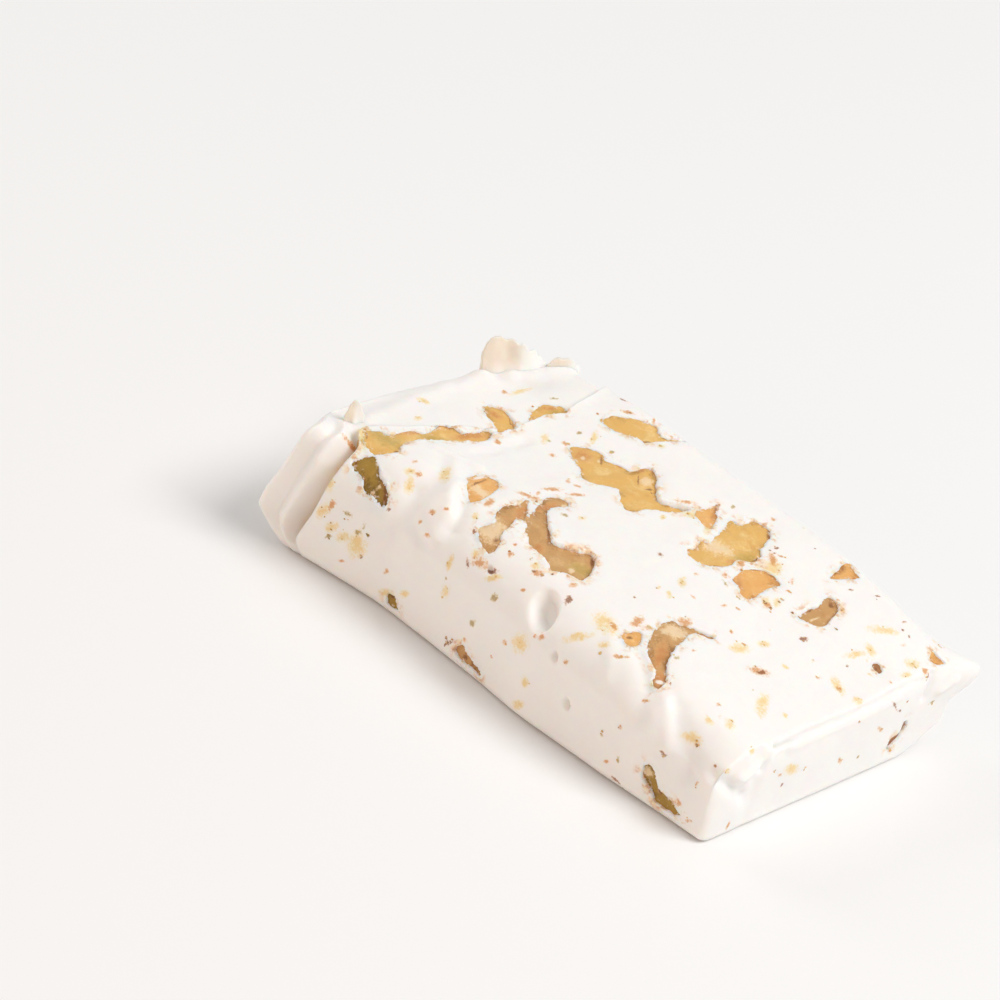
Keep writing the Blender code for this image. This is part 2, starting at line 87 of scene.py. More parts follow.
# Where the bar is pressed in (-) or stands out (+): how far, then the middle and the width of
# the place along x, y and z. The fifth lies under the front bubble, which BUBBLES digs out.
PRESSED = (
    (-1.3, (34.0, 4.0), (-29.0, 9.0), (12.0, 5.0)),
    (0.5, (27.0, 2.0), (-29.0, 9.0), (12.0, 6.0)),
    (0.7, (-20.5, 2.2), (-22.0, 7.0), (17.0, 7.0)),
    (-0.8, (-25.0, 2.0), (-21.0, 7.0), (17.0, 7.0)),
    (-0.5, (4.0, 2.4), (-25.6, 2.8), (16.0, 3.0)),
    (-0.9, (41.5, 2.4), (-19.0, 1.6), (9.0, 5.5)),
)
# Creases and small folds: how far out (+) or in (-), how wide, and the line each follows. Those
# that show in the photograph were picked there in pixels, and a scratch script cast them onto
# the bar. Those on the hidden sides are guesses.
CREASES = (
    (-0.45, 0.4, ((40.2, -15.0, 12.1), (40.1, -8.9, 12.6), (40.3, 0.1, 12.7), (40.3, 8.0, 13.1),
                  (40.2, 14.9, 13.9), (40.3, 17.7, 13.6))),
    (0.2, 0.7, ((40.5, -11.9, 11.2), (40.6, -4.2, 11.6), (40.8, 4.6, 11.7), (40.8, 12.5, 12.4))),
    (-0.7, 0.7, ((40.2, -15.6, 12.1), (40.3, -16.6, 11.3), (40.3, -17.6, 9.5))),
    (0.7, 0.9, ((40.1, -17.2, 12.3), (39.8, -20.1, 10.4), (40.5, -22.9, 9.6))),
    (-0.8, 1.1, ((38.3, -26.8, 10.4), (40.3, -24.7, 9.2), (40.8, -20.6, 6.1))),
    (0.3, 1.0, ((26.6, -25.4, 15.8), (29.1, -26.9, 13.1), (30.6, -27.5, 10.2))),
    (-0.5, 2.0, ((28.9, -24.9, 15.4), (31.6, -26.5, 12.4), (34.5, -26.9, 9.2))),
    (-0.6, 0.7, ((40.3, 20.2, 13.8), (40.8, 19.8, 12.4), (40.9, 19.0, 10.6))),
    (0.5, 0.8, ((41.1, 22.2, 10.9), (41.3, 25.1, 11.9))),
    (0.6, 1.4, ((-25.7, -13.6, 20.2), (-20.8, -20.0, 20.6), (-18.4, -22.9, 18.6),
                (-18.1, -25.0, 16.0))),
    (-0.6, 1.2, ((-19.6, -18.5, 20.9), (-17.0, -21.9, 19.2), (-16.4, -23.8, 17.6))),
    (-0.5, 1.8, ((-25.7, -21.7, 18.2), (-22.8, -24.7, 15.7), (-19.4, -25.9, 13.8))),
    (1.2, 2.2, ((-41.2, 11.0, 19.0), (-38.8, 18.0, 19.2), (-36.8, 25.5, 18.6))),
    (0.5, 1.6, ((-41.5, -15.0, 19.8), (-41.8, -4.0, 19.8), (-41.6, 8.0, 19.4))),
    (0.35, 0.8, ((-30.3, -12.9, 20.4), (-27.1, -12.1, 20.3), (-23.5, -10.6, 20.3))),
    (-0.5, 1.2, ((-26.4, -7.2, 20.2), (-26.0, -2.0, 20.0), (-25.7, 2.6, 19.9))),
    (0.35, 1.0, ((14.5, -24.3, 17.7), (16.9, -26.2, 16.3), (18.0, -27.8, 14.1))),
    (-0.5, 1.2, ((19.3, -23.4, 17.8), (23.7, -26.2, 15.4), (25.5, -28.3, 12.1))),
    (0.5, 1.0, ((-30.0, 27.2, 16.5), (-22.0, 27.6, 9.0), (-18.0, 27.4, 4.0))),
    (-0.6, 1.2, ((-4.0, 26.8, 18.0), (-1.0, 27.4, 12.0), (3.0, 27.3, 5.0))),
    (0.4, 0.9, ((14.0, 27.3, 14.0), (17.0, 27.4, 8.0), (18.0, 27.3, 4.0))),
    (-0.7, 1.2, ((-46.5, -8.0, 17.0), (-47.2, -4.0, 9.0), (-47.0, -2.0, 3.0))),
    (0.6, 1.0, ((-46.8, -14.0, 14.0), (-47.4, -11.0, 8.0), (-47.2, -9.0, 3.0))),
    (-0.6, 1.0, ((-43.0, 18.0, 17.0), (-43.8, 19.5, 10.0), (-43.4, 20.0, 4.0))),
    (0.45, 1.3, ((-38.0, 27.2, 13.0), (-34.0, 27.5, 8.0), (-31.0, 27.3, 3.0))),
    (-0.5, 1.6, ((4.0, 27.0, 18.0), (9.0, 27.4, 11.0), (10.0, 27.3, 4.0))),
    (0.4, 1.2, ((26.0, 27.0, 12.0), (24.0, 27.3, 7.0), (25.0, 27.2, 3.0))),
    (0.5, 1.1, ((-45.0, 8.0, 15.0), (-46.0, 12.0, 8.0), (-45.8, 14.0, 3.0))),
)
# Air bubbles: the middle, half length and half width, the way the length runs, how deep.
BUBBLES = (
    ((3.8, -25.2, 16.0), (3.2, 2.0), (0.50, -0.61, -0.61), 2.1),
    ((-7.4, -25.2, 16.6), (0.7, 0.5), (0.8, -0.4, -0.4), 0.7),
    ((9.1, -27.8, 12.4), (0.8, 0.5), (0.6, -0.5, -0.6), 1.0),
    ((13.1, -28.0, 7.1), (0.9, 0.5), (0.6, -0.2, -0.8), 1.0),
    ((-12.0, 27.0, 11.0), (1.2, 0.8), (0.6, 0.0, -0.8), 0.7),
    ((28.0, 27.0, 9.0), (0.8, 0.6), (0.8, 0.0, -0.6), 0.6),
)

SLANT = 0.5 ** 0.5

# How finely the nougat's surface is divided, and how a piece of walnut sits in it.
STEP = 0.28
COARSE_STEP = 0.8           # of the plain surface that pieces and crumbs are laid on
SEAM_WIDTH = 0.06
PIT_DEPTH = 2.8
WALL = 0.30                 # how far the wall of a pit leans in
FACET_CRISPNESS = 1.6       # of the borders between a piece's broken faces
MERGE = 0.6                 # pits closer than about this run into each other
WALNUT_STEP = 0.26
SOFT_SPREAD = 1.4           # how much further a yellow oil stain spreads than its crumb
WALNUT_UNDER = 0.60         # how far a piece reaches under the nougat's edge
WALNUT_THICK = 2.0

# For each side: its outward direction and the bar's directions along an outline's two axes.
SIDES = {
    "top": ((0, 0, 1), (1, 0, 0), (0, 1, 0)),
    "bottom": ((0, 0, -1), (1, 0, 0), (0, 1, 0)),
    "shoulder": ((0, -SLANT, SLANT), (1, 0, 0), (0, SLANT, SLANT)),
    "front": ((0, -1, 0), (1, 0, 0), (0, 0, 1)),
    "back": ((0, 1, 0), (1, 0, 0), (0, 0, 1)),
    "right": ((1, 0, 0), (0, 1, 0), (0, 0, 1)),
    "left": ((-1, 0, 0), (0, 1, 0), (0, 0, 1)),
}

# Each walnut piece: its side, its colour, how deep it lies, and its outline as in the solids.
# The outlines that show were picked on the photograph and cast onto the bar in the same way.
WALNUTS = (
    ("top", "gold", 0.45,
     ((-38.5, -19.1), (-37.6, -17.2), (-36.0, -15.8), (-35.3, -12.6), (-34.2, -10.8),
      (-34.2, -7.6), (-33.0, -5.8), (-31.2, -4.6), (-30.6, -1.2), (-29.6, -0.7), (-28.4, -3.2),
      (-28.9, -5.1), (-30.4, -8.1), (-31.7, -11.0), (-33.1, -14.5), (-33.4, -16.6),
      (-32.0, -18.8), (-33.0, -20.4), (-34.9, -21.5), (-37.0, -20.6))),
    ("top", "olive", 0.5,
     ((-36.1, -23.8), (-35.2, -23.0), (-33.8, -22.0), (-32.2, -22.4), (-30.1, -23.3),
      (-28.6, -23.6), (-27.6, -24.6), (-28.6, -25.1), (-31.6, -25.1), (-33.4, -24.6),
      (-35.3, -24.3))),
    ("top", "gold", 0.35,
     ((-35.1, 3.4), (-35.2, 5.4), (-33.8, 6.4), (-31.6, 6.3), (-29.9, 5.2), (-28.6, 3.8),
      (-28.9, 1.6), (-29.2, 0.2), (-30.6, 1.3), (-32.2, 2.4), (-33.8, 2.7))),
    ("top", "gold", 0.35,
     ((-22.7, 15.9), (-23.0, 17.8), (-22.2, 18.8), (-20.1, 21.1), (-17.8, 22.6), (-15.8, 21.6),
      (-14.9, 22.2), (-14.3, 24.2), (-13.1, 24.5), (-14.0, 21.6), (-14.8, 19.4), (-15.6, 17.5),
      (-17.8, 17.0), (-20.2, 15.8))),
    ("top", "gold", 0.4,
     ((-20.7, 6.2), (-21.1, 7.8), (-19.4, 9.5), (-17.2, 10.0), (-15.8, 9.2), (-13.6, 10.3),
      (-12.2, 10.3), (-11.6, 12.6), (-10.8, 13.6), (-8.5, 12.2), (-6.0, 9.6), (-4.4, 8.9),
      (-2.0, 10.8), (-0.6, 10.2), (-1.9, 6.9), (-3.8, 5.0), (-4.4, 2.2), (-5.4, 1.2), (-7.2, 2.4),
      (-9.4, 4.9), (-10.8, 4.6), (-12.4, 3.0), (-14.2, 2.4), (-17.2, 4.4))),
    ("top", "orange", 0.3,
     ((-21.5, -15.8), (-22.4, -13.0), (-21.4, -11.6), (-19.6, -11.2), (-17.9, -13.4),
      (-17.1, -17.0), (-17.8, -18.9), (-19.6, -17.9))),
    ("top", "tan", 0.35,
     ((-13.9, -10.8), (-13.9, -13.2), (-14.4, -15.6), (-13.5, -18.5), (-12.5, -19.4),
      (-13.6, -21.2), (-12.9, -22.6), (-10.5, -23.6), (-8.9, -23.4), (-9.2, -21.8),
      (-10.1, -20.4), (-10.5, -18.2), (-11.3, -16.4), (-10.6, -15.2), (-12.0, -13.2))),
    ("top", "tan", 0.7,
     ((-11.2, -4.9), (-12.9, -6.4), (-13.2, -7.8), (-12.0, -10.9), (-11.0, -13.6), (-9.0, -16.7),
      (-6.8, -18.7), (-3.8, -19.6), (-1.3, -20.4), (-0.2, -21.3), (1.4, -19.8), (3.4, -19.0),
      (3.8, -18.4), (2.6, -15.0), (1.2, -12.4), (-0.6, -11.7), (-1.8, -13.2), (-3.4, -14.5),
      (-5.0, -15.3), (-6.4, -14.0), (-8.6, -12.0), (-10.4, -10.2), (-10.8, -8.0), (-10.0, -6.4))),
    ("top", "orange", 0.3,
     ((0.3, 10.9), (0.1, 12.2), (0.6, 14.0), (0.4, 15.0), (1.6, 14.0), (2.9, 12.5), (4.2, 9.9),
      (3.2, 9.4), (1.4, 10.0))),
    ("top", "gold", 0.5,
     ((5.4, 2.5), (5.9, 4.0), (5.3, 6.2), (6.2, 7.4), (5.3, 10.2), (4.6, 12.4), (3.8, 15.0),
      (5.0, 15.2), (5.8, 17.9), (7.2, 18.7), (9.2, 18.1), (10.3, 15.8), (11.0, 13.4),
      (12.1, 12.4), (12.3, 10.0), (11.2, 7.6), (11.5, 5.4), (10.6, 3.6), (9.2, 1.7), (7.2, 1.2))),
    ("top", "orange", 0.35,
     ((13.5, 4.0), (13.0, 6.6), (13.6, 9.0), (15.0, 10.6), (16.9, 10.4), (18.0, 9.8), (17.5, 7.8),
      (17.6, 5.0), (17.8, 3.0), (16.6, 2.3), (15.2, 3.4))),
    ("top", "tan", 0.55,
     ((23.4, 7.5), (23.1, 10.4), (23.3, 12.7), (23.1, 14.9), (24.4, 15.5), (25.5, 14.6),
      (26.5, 12.3), (26.8, 9.4), (25.6, 8.1))),
    ("top", "tan", 0.5,
     ((17.9, -20.0), (16.7, -17.0), (16.3, -13.8), (17.4, -12.4), (19.2, -10.9), (21.5, -9.3),
      (21.6, -10.2), (19.8, -11.8), (19.8, -13.4), (20.6, -16.0), (21.6, -19.0), (23.1, -21.4),
      (24.9, -23.4), (24.8, -25.0), (23.4, -24.8), (22.6, -23.6), (20.6, -22.8), (19.2, -21.8))),
    ("top", "orange", 0.3,
     ((15.0, -22.4), (15.0, -21.2), (15.6, -19.8), (16.6, -20.1), (18.0, -21.8), (17.6, -22.8),
      (16.2, -23.0))),
    ("top", "orange", 0.3,
     ((20.5, 17.8), (20.0, 20.6), (19.1, 24.0), (19.4, 24.9), (20.6, 23.4), (22.4, 23.1),
      (21.8, 21.0))),
    ("top", "orange", 0.3,
     ((37.2, 23.0), (38.6, 23.4), (39.8, 23.6), (39.6, 21.6), (38.4, 21.6))),
    ("top", "brown", 0.3,
     ((35.0, 11.6), (35.5, 12.6), (36.7, 12.3), (37.1, 11.4), (36.2, 10.9))),
    ("front", "olive", 0.5,
     ((27.9, 5.9), (28.8, 6.7), (30.2, 5.8), (31.4, 4.3), (34.0, 3.2), (36.2, 2.2), (34.6, 1.6),
      (31.8, 1.7), (30.4, 2.6), (28.8, 3.8))),
    ("front", "tan", 0.45,
     ((-8.8, 2.8), (-7.5, 4.1), (-6.4, 3.8), (-5.0, 3.2), (-3.2, 2.4), (-2.6, 1.6), (-4.6, 1.6),
      (-7.2, 1.7))),
    ("front", "olive", 0.45,
     ((-22.9, 3.0), (-21.8, 3.7), (-20.8, 2.9), (-20.2, 1.7), (-22.4, 1.6))),
    ("right", "brown", 0.6,
     ((13.4, 3.5), (13.4, 4.8), (15.2, 5.8), (15.6, 7.2), (16.4, 7.2), (17.0, 6.0), (15.8, 4.2),
      (14.4, 3.3))),
    ("back", "gold", 0.5,
     ((-24.0, 6.4), (-22.4, 9.4), (-20.0, 11.0), (-17.2, 11.2), (-14.6, 12.4), (-11.6, 8.4),
      (-13.2, 6.0), (-15.4, 4.8), (-20.2, 5.0))),
    ("back", "olive", 0.5,
     ((-0.4, 7.6), (1.4, 10.8), (4.4, 12.4), (8.4, 11.0), (7.8, 8.6), (6.6, 6.8), (2.6, 4.6))),
    ("back", "tan", 0.5,
     ((17.4, 7.6), (18.8, 10.2), (21.2, 11.2), (23.4, 10.6), (25.6, 9.0), (24.4, 5.6), (20.0, 4.6))),
    ("left", "gold", 0.5,
     ((-4.6, 6.4), (-3.2, 9.4), (-0.6, 10.6), (2.4, 9.6), (5.6, 10.0), (7.8, 6.2), (5.2, 5.6),
      (2.2, 4.2))),
    ("bottom", "gold", 0.5,
     ((-29.0, 10.6), (-27.4, 13.8), (-24.6, 15.0), (-21.6, 13.4), (-18.8, 12.8), (-20.4, 6.6),
      (-26.2, 5.6))),
    ("bottom", "tan", 0.5,
     ((-20.6, -14.4), (-17.6, -10.6), (-13.4, -9.4), (-10.6, -11.8), (-7.4, -12.8),
      (-10.2, -17.8), (-17.6, -19.0))),
    ("bottom", "olive", 0.5,
     ((8.4, 10.2), (10.8, 14.0), (14.2, 16.0), (19.6, 12.6), (18.8, 9.4), (16.8, 6.4), (11.6, 6.0))),
    ("bottom", "orange", 0.5,
     ((21.6, -12.4), (23.2, -9.2), (25.8, -7.6), (30.6, -10.4), (28.4, -15.2), (23.8, -15.8))),
    ("top", "gold", 0.35,
     ((-28.6, 6.8), (-30.2, 8.8), (-31.1, 10.6), (-31.1, 12.2), (-30.2, 13.4), (-28.9, 14.5),
      (-27.4, 13.7), (-27.5, 12.3), (-28.4, 10.4), (-28.5, 8.4))),
)

# Thin folds of nougat that stand up: their thickness at the foot and, station by station
# along them, the foot and the tip.
FOLDS = (
    (1.5, (((-41.8, 11.0, 15.0), (-43.8, 11.9, 23.2)), ((-41.2, 12.8, 15.0), (-43.4, 13.2, 25.0)),
           ((-40.4, 15.2, 15.0), (-42.2, 15.8, 24.9)), ((-39.2, 16.8, 15.0), (-40.4, 16.9, 24.3)),
           ((-38.6, 18.8, 15.0), (-39.6, 18.8, 23.6)), ((-38.2, 21.4, 14.0), (-39.6, 21.0, 21.6)),
           ((-37.8, 23.6, 13.0), (-38.4, 23.2, 19.0)))),
    (1.7, (((-38.2, 19.8, 13.0), (-39.2, 20.4, 17.4)), ((-37.4, 21.8, 13.0), (-38.4, 22.4, 21.3)),
           ((-36.8, 23.8, 13.0), (-37.0, 24.4, 22.2)), ((-36.4, 26.0, 12.0), (-36.4, 26.8, 20.2)),
           ((-36.2, 26.2, 11.5), (-36.3, 28.0, 17.6)), ((-36.0, 25.8, 10.0), (-36.0, 26.6, 14.5)))),
    (1.3, (((-42.4, -19.4, 15.0), (-43.0, -18.8, 20.8)), ((-41.4, -17.8, 15.0),
           (-42.4, -17.5, 23.0)), ((-40.2, -16.0, 15.0), (-41.2, -16.4, 20.6)))),
)
FOLD_TORN = 0.16            # how much of a fold's height its torn tip varies by
FOLD_TAPER = 0.72           # how much thinner its tip is than its foot
FOLD_FLARE = 1.3            # how much its foot spreads where it leaves the bar
# how strongly the half of a fold turned from the light is tinted with painted shade
FOLD_SHADE = 0.50

# Stains and bits under the skin of each side and colour: the place's two coordinates, half of
# the length and of the width, and the turn in degrees. Nearly all rows are what a scratch script
# worked out from spots picked on the photograph in pixels.
MARKS = {
    ("top", "brown"): (
        (5.3, -23.2, 0.9, 0.6, -60), (0.5, -21.7, 0.3, 0.25, 45), (1.1, 14.6, 1.2, 0.4, -65),
        (10.2, -14.6, 0.3, 0.25, -80), (11.9, 14.3, 0.3, 0.25, -60), (12.1, 15.5, 0.5, 0.3, -90),
        (12.8, 14.4, 0.3, 0.25, -60), (16.8, -10.5, 0.3, 0.25, -65), (19.5, 4.9, 0.3, 0.25, -90),
        (20.2, 7.9, 0.3, 0.25, 80), (20.2, 7.0, 0.3, 0.25, -65), (20.5, 4.7, 0.4, 0.3, -80),
        (22.6, 7.3, 0.3, 0.25, -65), (23.8, 19.2, 0.5, 0.25, 70), (26.4, 22.4, 0.7, 0.25, 65),
        (27.3, 4.8, 0.7, 0.5, 70), (29.4, -7.4, 1.0, 0.5, 75), (31.9, 22.5, 0.5, 0.25, 75),
        (33.0, 21.0, 0.4, 0.25, -85), (33.7, 7.6, 0.3, 0.25, 80), (34.2, 21.1, 0.4, 0.25, -70)),
    ("top", "orange"): (
        (-14.4, -9.6, 2.2, 0.7, 30), (-16.0, -17.2, 1.6, 0.7, -70), (-9.4, -25.0, 1.6, 0.6, 0),
        (-11.6, -2.6, 1.6, 0.5, 60), (13.6, 13.0, 1.8, 0.7, -40), (-36.9, 10.4, 0.8, 0.5, -65),
        (-29.0, -18.8, 0.5, 0.4, 45), (-24.3, 16.6, 0.4, 0.25, 65), (-22.2, 21.0, 1.2, 0.5, 40),
        (-22.1, 7.3, 0.7, 0.5, 45), (-18.9, 23.3, 1.1, 0.3, -55), (-14.9, -0.6, 0.9, 0.4, -60),
        (-14.4, -4.8, 1.9, 0.7, 70), (-14.4, -8.0, 1.4, 0.3, -65), (-13.3, -0.3, 0.7, 0.5, 35),
        (-7.4, -20.8, 0.3, 0.3, 35), (-2.4, 11.4, 1.9, 0.4, 45), (2.0, -19.9, 0.4, 0.3, -75),
        (3.9, -20.9, 0.8, 0.5, 85), (10.6, -1.1, 0.6, 0.4, 85), (11.9, 7.9, 1.3, 0.6, 85),
        (12.7, 3.3, 0.8, 0.7, 75), (13.0, -22.2, 1.0, 0.6, -15), (13.7, 14.7, 0.5, 0.3, 25),
        (14.3, -18.6, 1.9, 0.8, -80), (17.3, -2.3, 0.7, 0.4, -80), (17.4, -11.2, 1.4, 0.9, 70),
        (18.3, 12.2, 0.9, 0.3, -55), (19.4, 10.1, 0.5, 0.25, 65), (20.0, 4.7, 1.1, 0.7, -70),
        (22.5, -15.1, 0.6, 0.3, -85), (24.4, -5.7, 0.6, 0.4, 70), (26.2, 14.5, 0.7, 0.5, -65),
        (29.0, -7.7, 2.0, 1.0, 60), (31.7, -19.8, 0.4, 0.3, -70), (33.6, 1.2, 0.5, 0.3, 85),
        (35.0, 18.8, 0.6, 0.3, 85), (36.4, 2.8, 0.7, 0.5, -35), (39.0, 11.5, 0.5, 0.25, -25),
        (39.8, 18.7, 0.9, 0.5, 80)),
    ("top", "yellow"): (
        (-35.7, 12.6, 1.9, 0.4, 85), (-24.6, 5.4, 1.1, 0.5, -55), (-24.3, -17.4, 1.7, 0.6, -50),
        (-20.6, 11.7, 1.3, 0.4, -60), (-13.7, 19.0, 0.6, 0.4, -75), (-6.9, -6.5, 0.6, 0.4, -85),
        (-2.3, -22.0, 0.6, 0.5, -35), (-1.3, 5.1, 0.6, 0.3, -70), (11.0, -4.6, 1.0, 0.5, -60),
        (12.1, -22.7, 1.8, 1.1, -15), (14.8, 11.7, 1.4, 1.0, -65), (24.7, -7.0, 1.5, 0.7, 80),
        (25.4, -2.3, 0.9, 0.5, 80), (31.7, 17.7, 1.9, 0.6, 60), (32.9, 10.2, 1.4, 0.4, 75),
        (33.3, 13.1, 0.9, 0.5, -15), (34.3, -12.7, 2.1, 0.7, -60), (35.9, 3.1, 1.3, 0.7, -25),
        (37.0, -10.4, 0.4, 0.3, -75), (38.1, 17.5, 1.0, 0.7, 80), (39.1, 14.9, 0.7, 0.4, 80),
        (39.2, 4.0, 0.8, 0.5, -85)),
    ("top", "olive"): (
        (-31.3, 14.9, 0.8, 0.3, 60), (-23.8, 5.4, 0.4, 0.3, -70), (-22.7, 10.8, 0.5, 0.4, -80),
        (-16.8, 11.4, 0.5, 0.4, -80), (-8.6, -8.5, 0.7, 0.6, 30), (-3.7, -21.4, 0.4, 0.3, -30),
        (2.2, 17.1, 0.8, 0.3, -55), (13.9, 1.8, 0.9, 0.3, -20), (22.6, -19.1, 0.8, 0.4, -90),
        (30.8, 3.0, 0.4, 0.25, 70)),
    ("shoulder", "yellow"): (
        (-37.8, -0.5, 2.2, 0.8, -40), (-28.2, -0.6, 0.6, 0.5, 35), (-26.9, -2.3, 1.1, 0.5, -60),
        (-15.2, -0.7, 0.5, 0.4, -40), (-10.9, -5.4, 0.6, 0.4, -40), (-6.2, -6.8, 1.1, 0.4, 35),
        (10.6, -7.0, 1.6, 0.5, 45), (14.4, -5.8, 0.8, 0.4, 35), (24.0, -6.0, 0.7, 0.5, 40)),
    ("shoulder", "orange"): (
        (-38.2, -2.3, 1.6, 0.5, -5), (-27.0, -0.2, 0.7, 0.6, 60), (-21.3, -5.9, 0.5, 0.4, 10),
        (-20.5, -4.0, 0.6, 0.5, 10), (-19.1, -7.0, 0.7, 0.4, 20), (-18.9, -2.5, 0.5, 0.3, 40),
        (-6.6, -2.5, 0.7, 0.5, -40), (-1.1, -2.6, 1.2, 0.7, 20), (-1.0, -5.9, 0.4, 0.3, 15),
        (17.3, -6.1, 0.8, 0.4, 35), (18.2, -5.4, 0.5, 0.25, 40), (24.5, -8.8, 0.6, 0.4, 30)),
    ("shoulder", "olive"): (
        (14.8, -7.1, 0.4, 0.3, 20),),
    ("shoulder", "brown"): (
        (-27.1, -7.0, 0.4, 0.25, 60), (-13.5, -2.7, 0.5, 0.25, -45), (-11.1, -7.0, 0.8, 0.3, -50),
        (-7.0, -6.1, 1.1, 0.5, 35), (-1.8, -2.7, 0.4, 0.3, 20), (-0.4, -2.5, 0.4, 0.3, -10),
        (25.5, -4.8, 0.3, 0.25, -50), (33.7, -9.4, 0.3, 0.25, -10), (37.8, -10.3, 0.3, 0.25, -20)),
    ("front", "yellow"): (
        (-36.8, 9.6, 1.3, 0.6, 65), (-34.7, 7.9, 0.9, 0.6, 40), (-32.5, 7.4, 1.1, 0.6, 35),
        (-29.9, 7.5, 1.6, 1.2, 90), (-23.1, 3.3, 1.0, 0.5, 30), (-19.8, 5.1, 0.9, 0.4, 40),
        (-12.9, 9.8, 0.9, 0.6, 85), (2.7, 11.1, 1.4, 1.0, 50)),
    ("front", "orange"): (
        (-35.6, 11.2, 1.3, 0.5, 75), (-31.6, 3.8, 0.8, 0.25, 25), (-24.1, 6.4, 0.7, 0.4, 60),
        (-7.2, 5.2, 0.7, 0.3, -85), (-0.1, 9.4, 0.6, 0.5, 70), (5.8, 14.0, 0.7, 0.5, 25),
        (22.3, 3.2, 0.4, 0.3, 40), (22.8, 9.2, 0.5, 0.3, 40), (35.0, 4.0, 0.9, 0.4, -35),
        (37.5, 2.4, 0.6, 0.3, 20)),
    ("front", "olive"): (
        (-32.7, 11.3, 1.0, 0.4, 0), (-30.5, 9.4, 1.0, 0.5, 25), (-29.7, 10.9, 0.7, 0.3, -90),
        (-13.5, 11.6, 0.4, 0.3, 60), (-6.7, 8.4, 0.7, 0.6, 50), (20.3, 6.4, 0.5, 0.3, 50),
        (24.0, 4.6, 0.7, 0.3, -70)),
    ("front", "brown"): (
        (-28.8, 6.1, 0.4, 0.25, -75), (-10.4, 3.5, 0.3, 0.25, 35), (-9.6, 3.2, 0.8, 0.4, 35),
        (24.6, 1.4, 1.6, 0.25, -10)),
    ("right", "yellow"): (
        (-25.4, 11.4, 0.4, 0.3, 5), (-20.6, 13.3, 0.6, 0.4, -25), (-10.6, 7.6, 1.4, 0.7, -15)),
    ("right", "orange"): (
        (1.4, 5.2, 1.0, 0.4, -50), (9.5, 8.1, 1.0, 0.4, -35)),
    ("right", "olive"): (
        (21.4, 9.0, 0.9, 0.3, 10),),
    ("right", "brown"): (
        (3.2, 11.4, 0.3, 0.25, -30), (11.5, 11.4, 1.6, 0.25, -45), (13.3, 10.0, 0.5, 0.25, -30),
        (14.5, 11.2, 0.3, 0.25, -30), (19.1, 13.7, 0.7, 0.3, 30)),
}
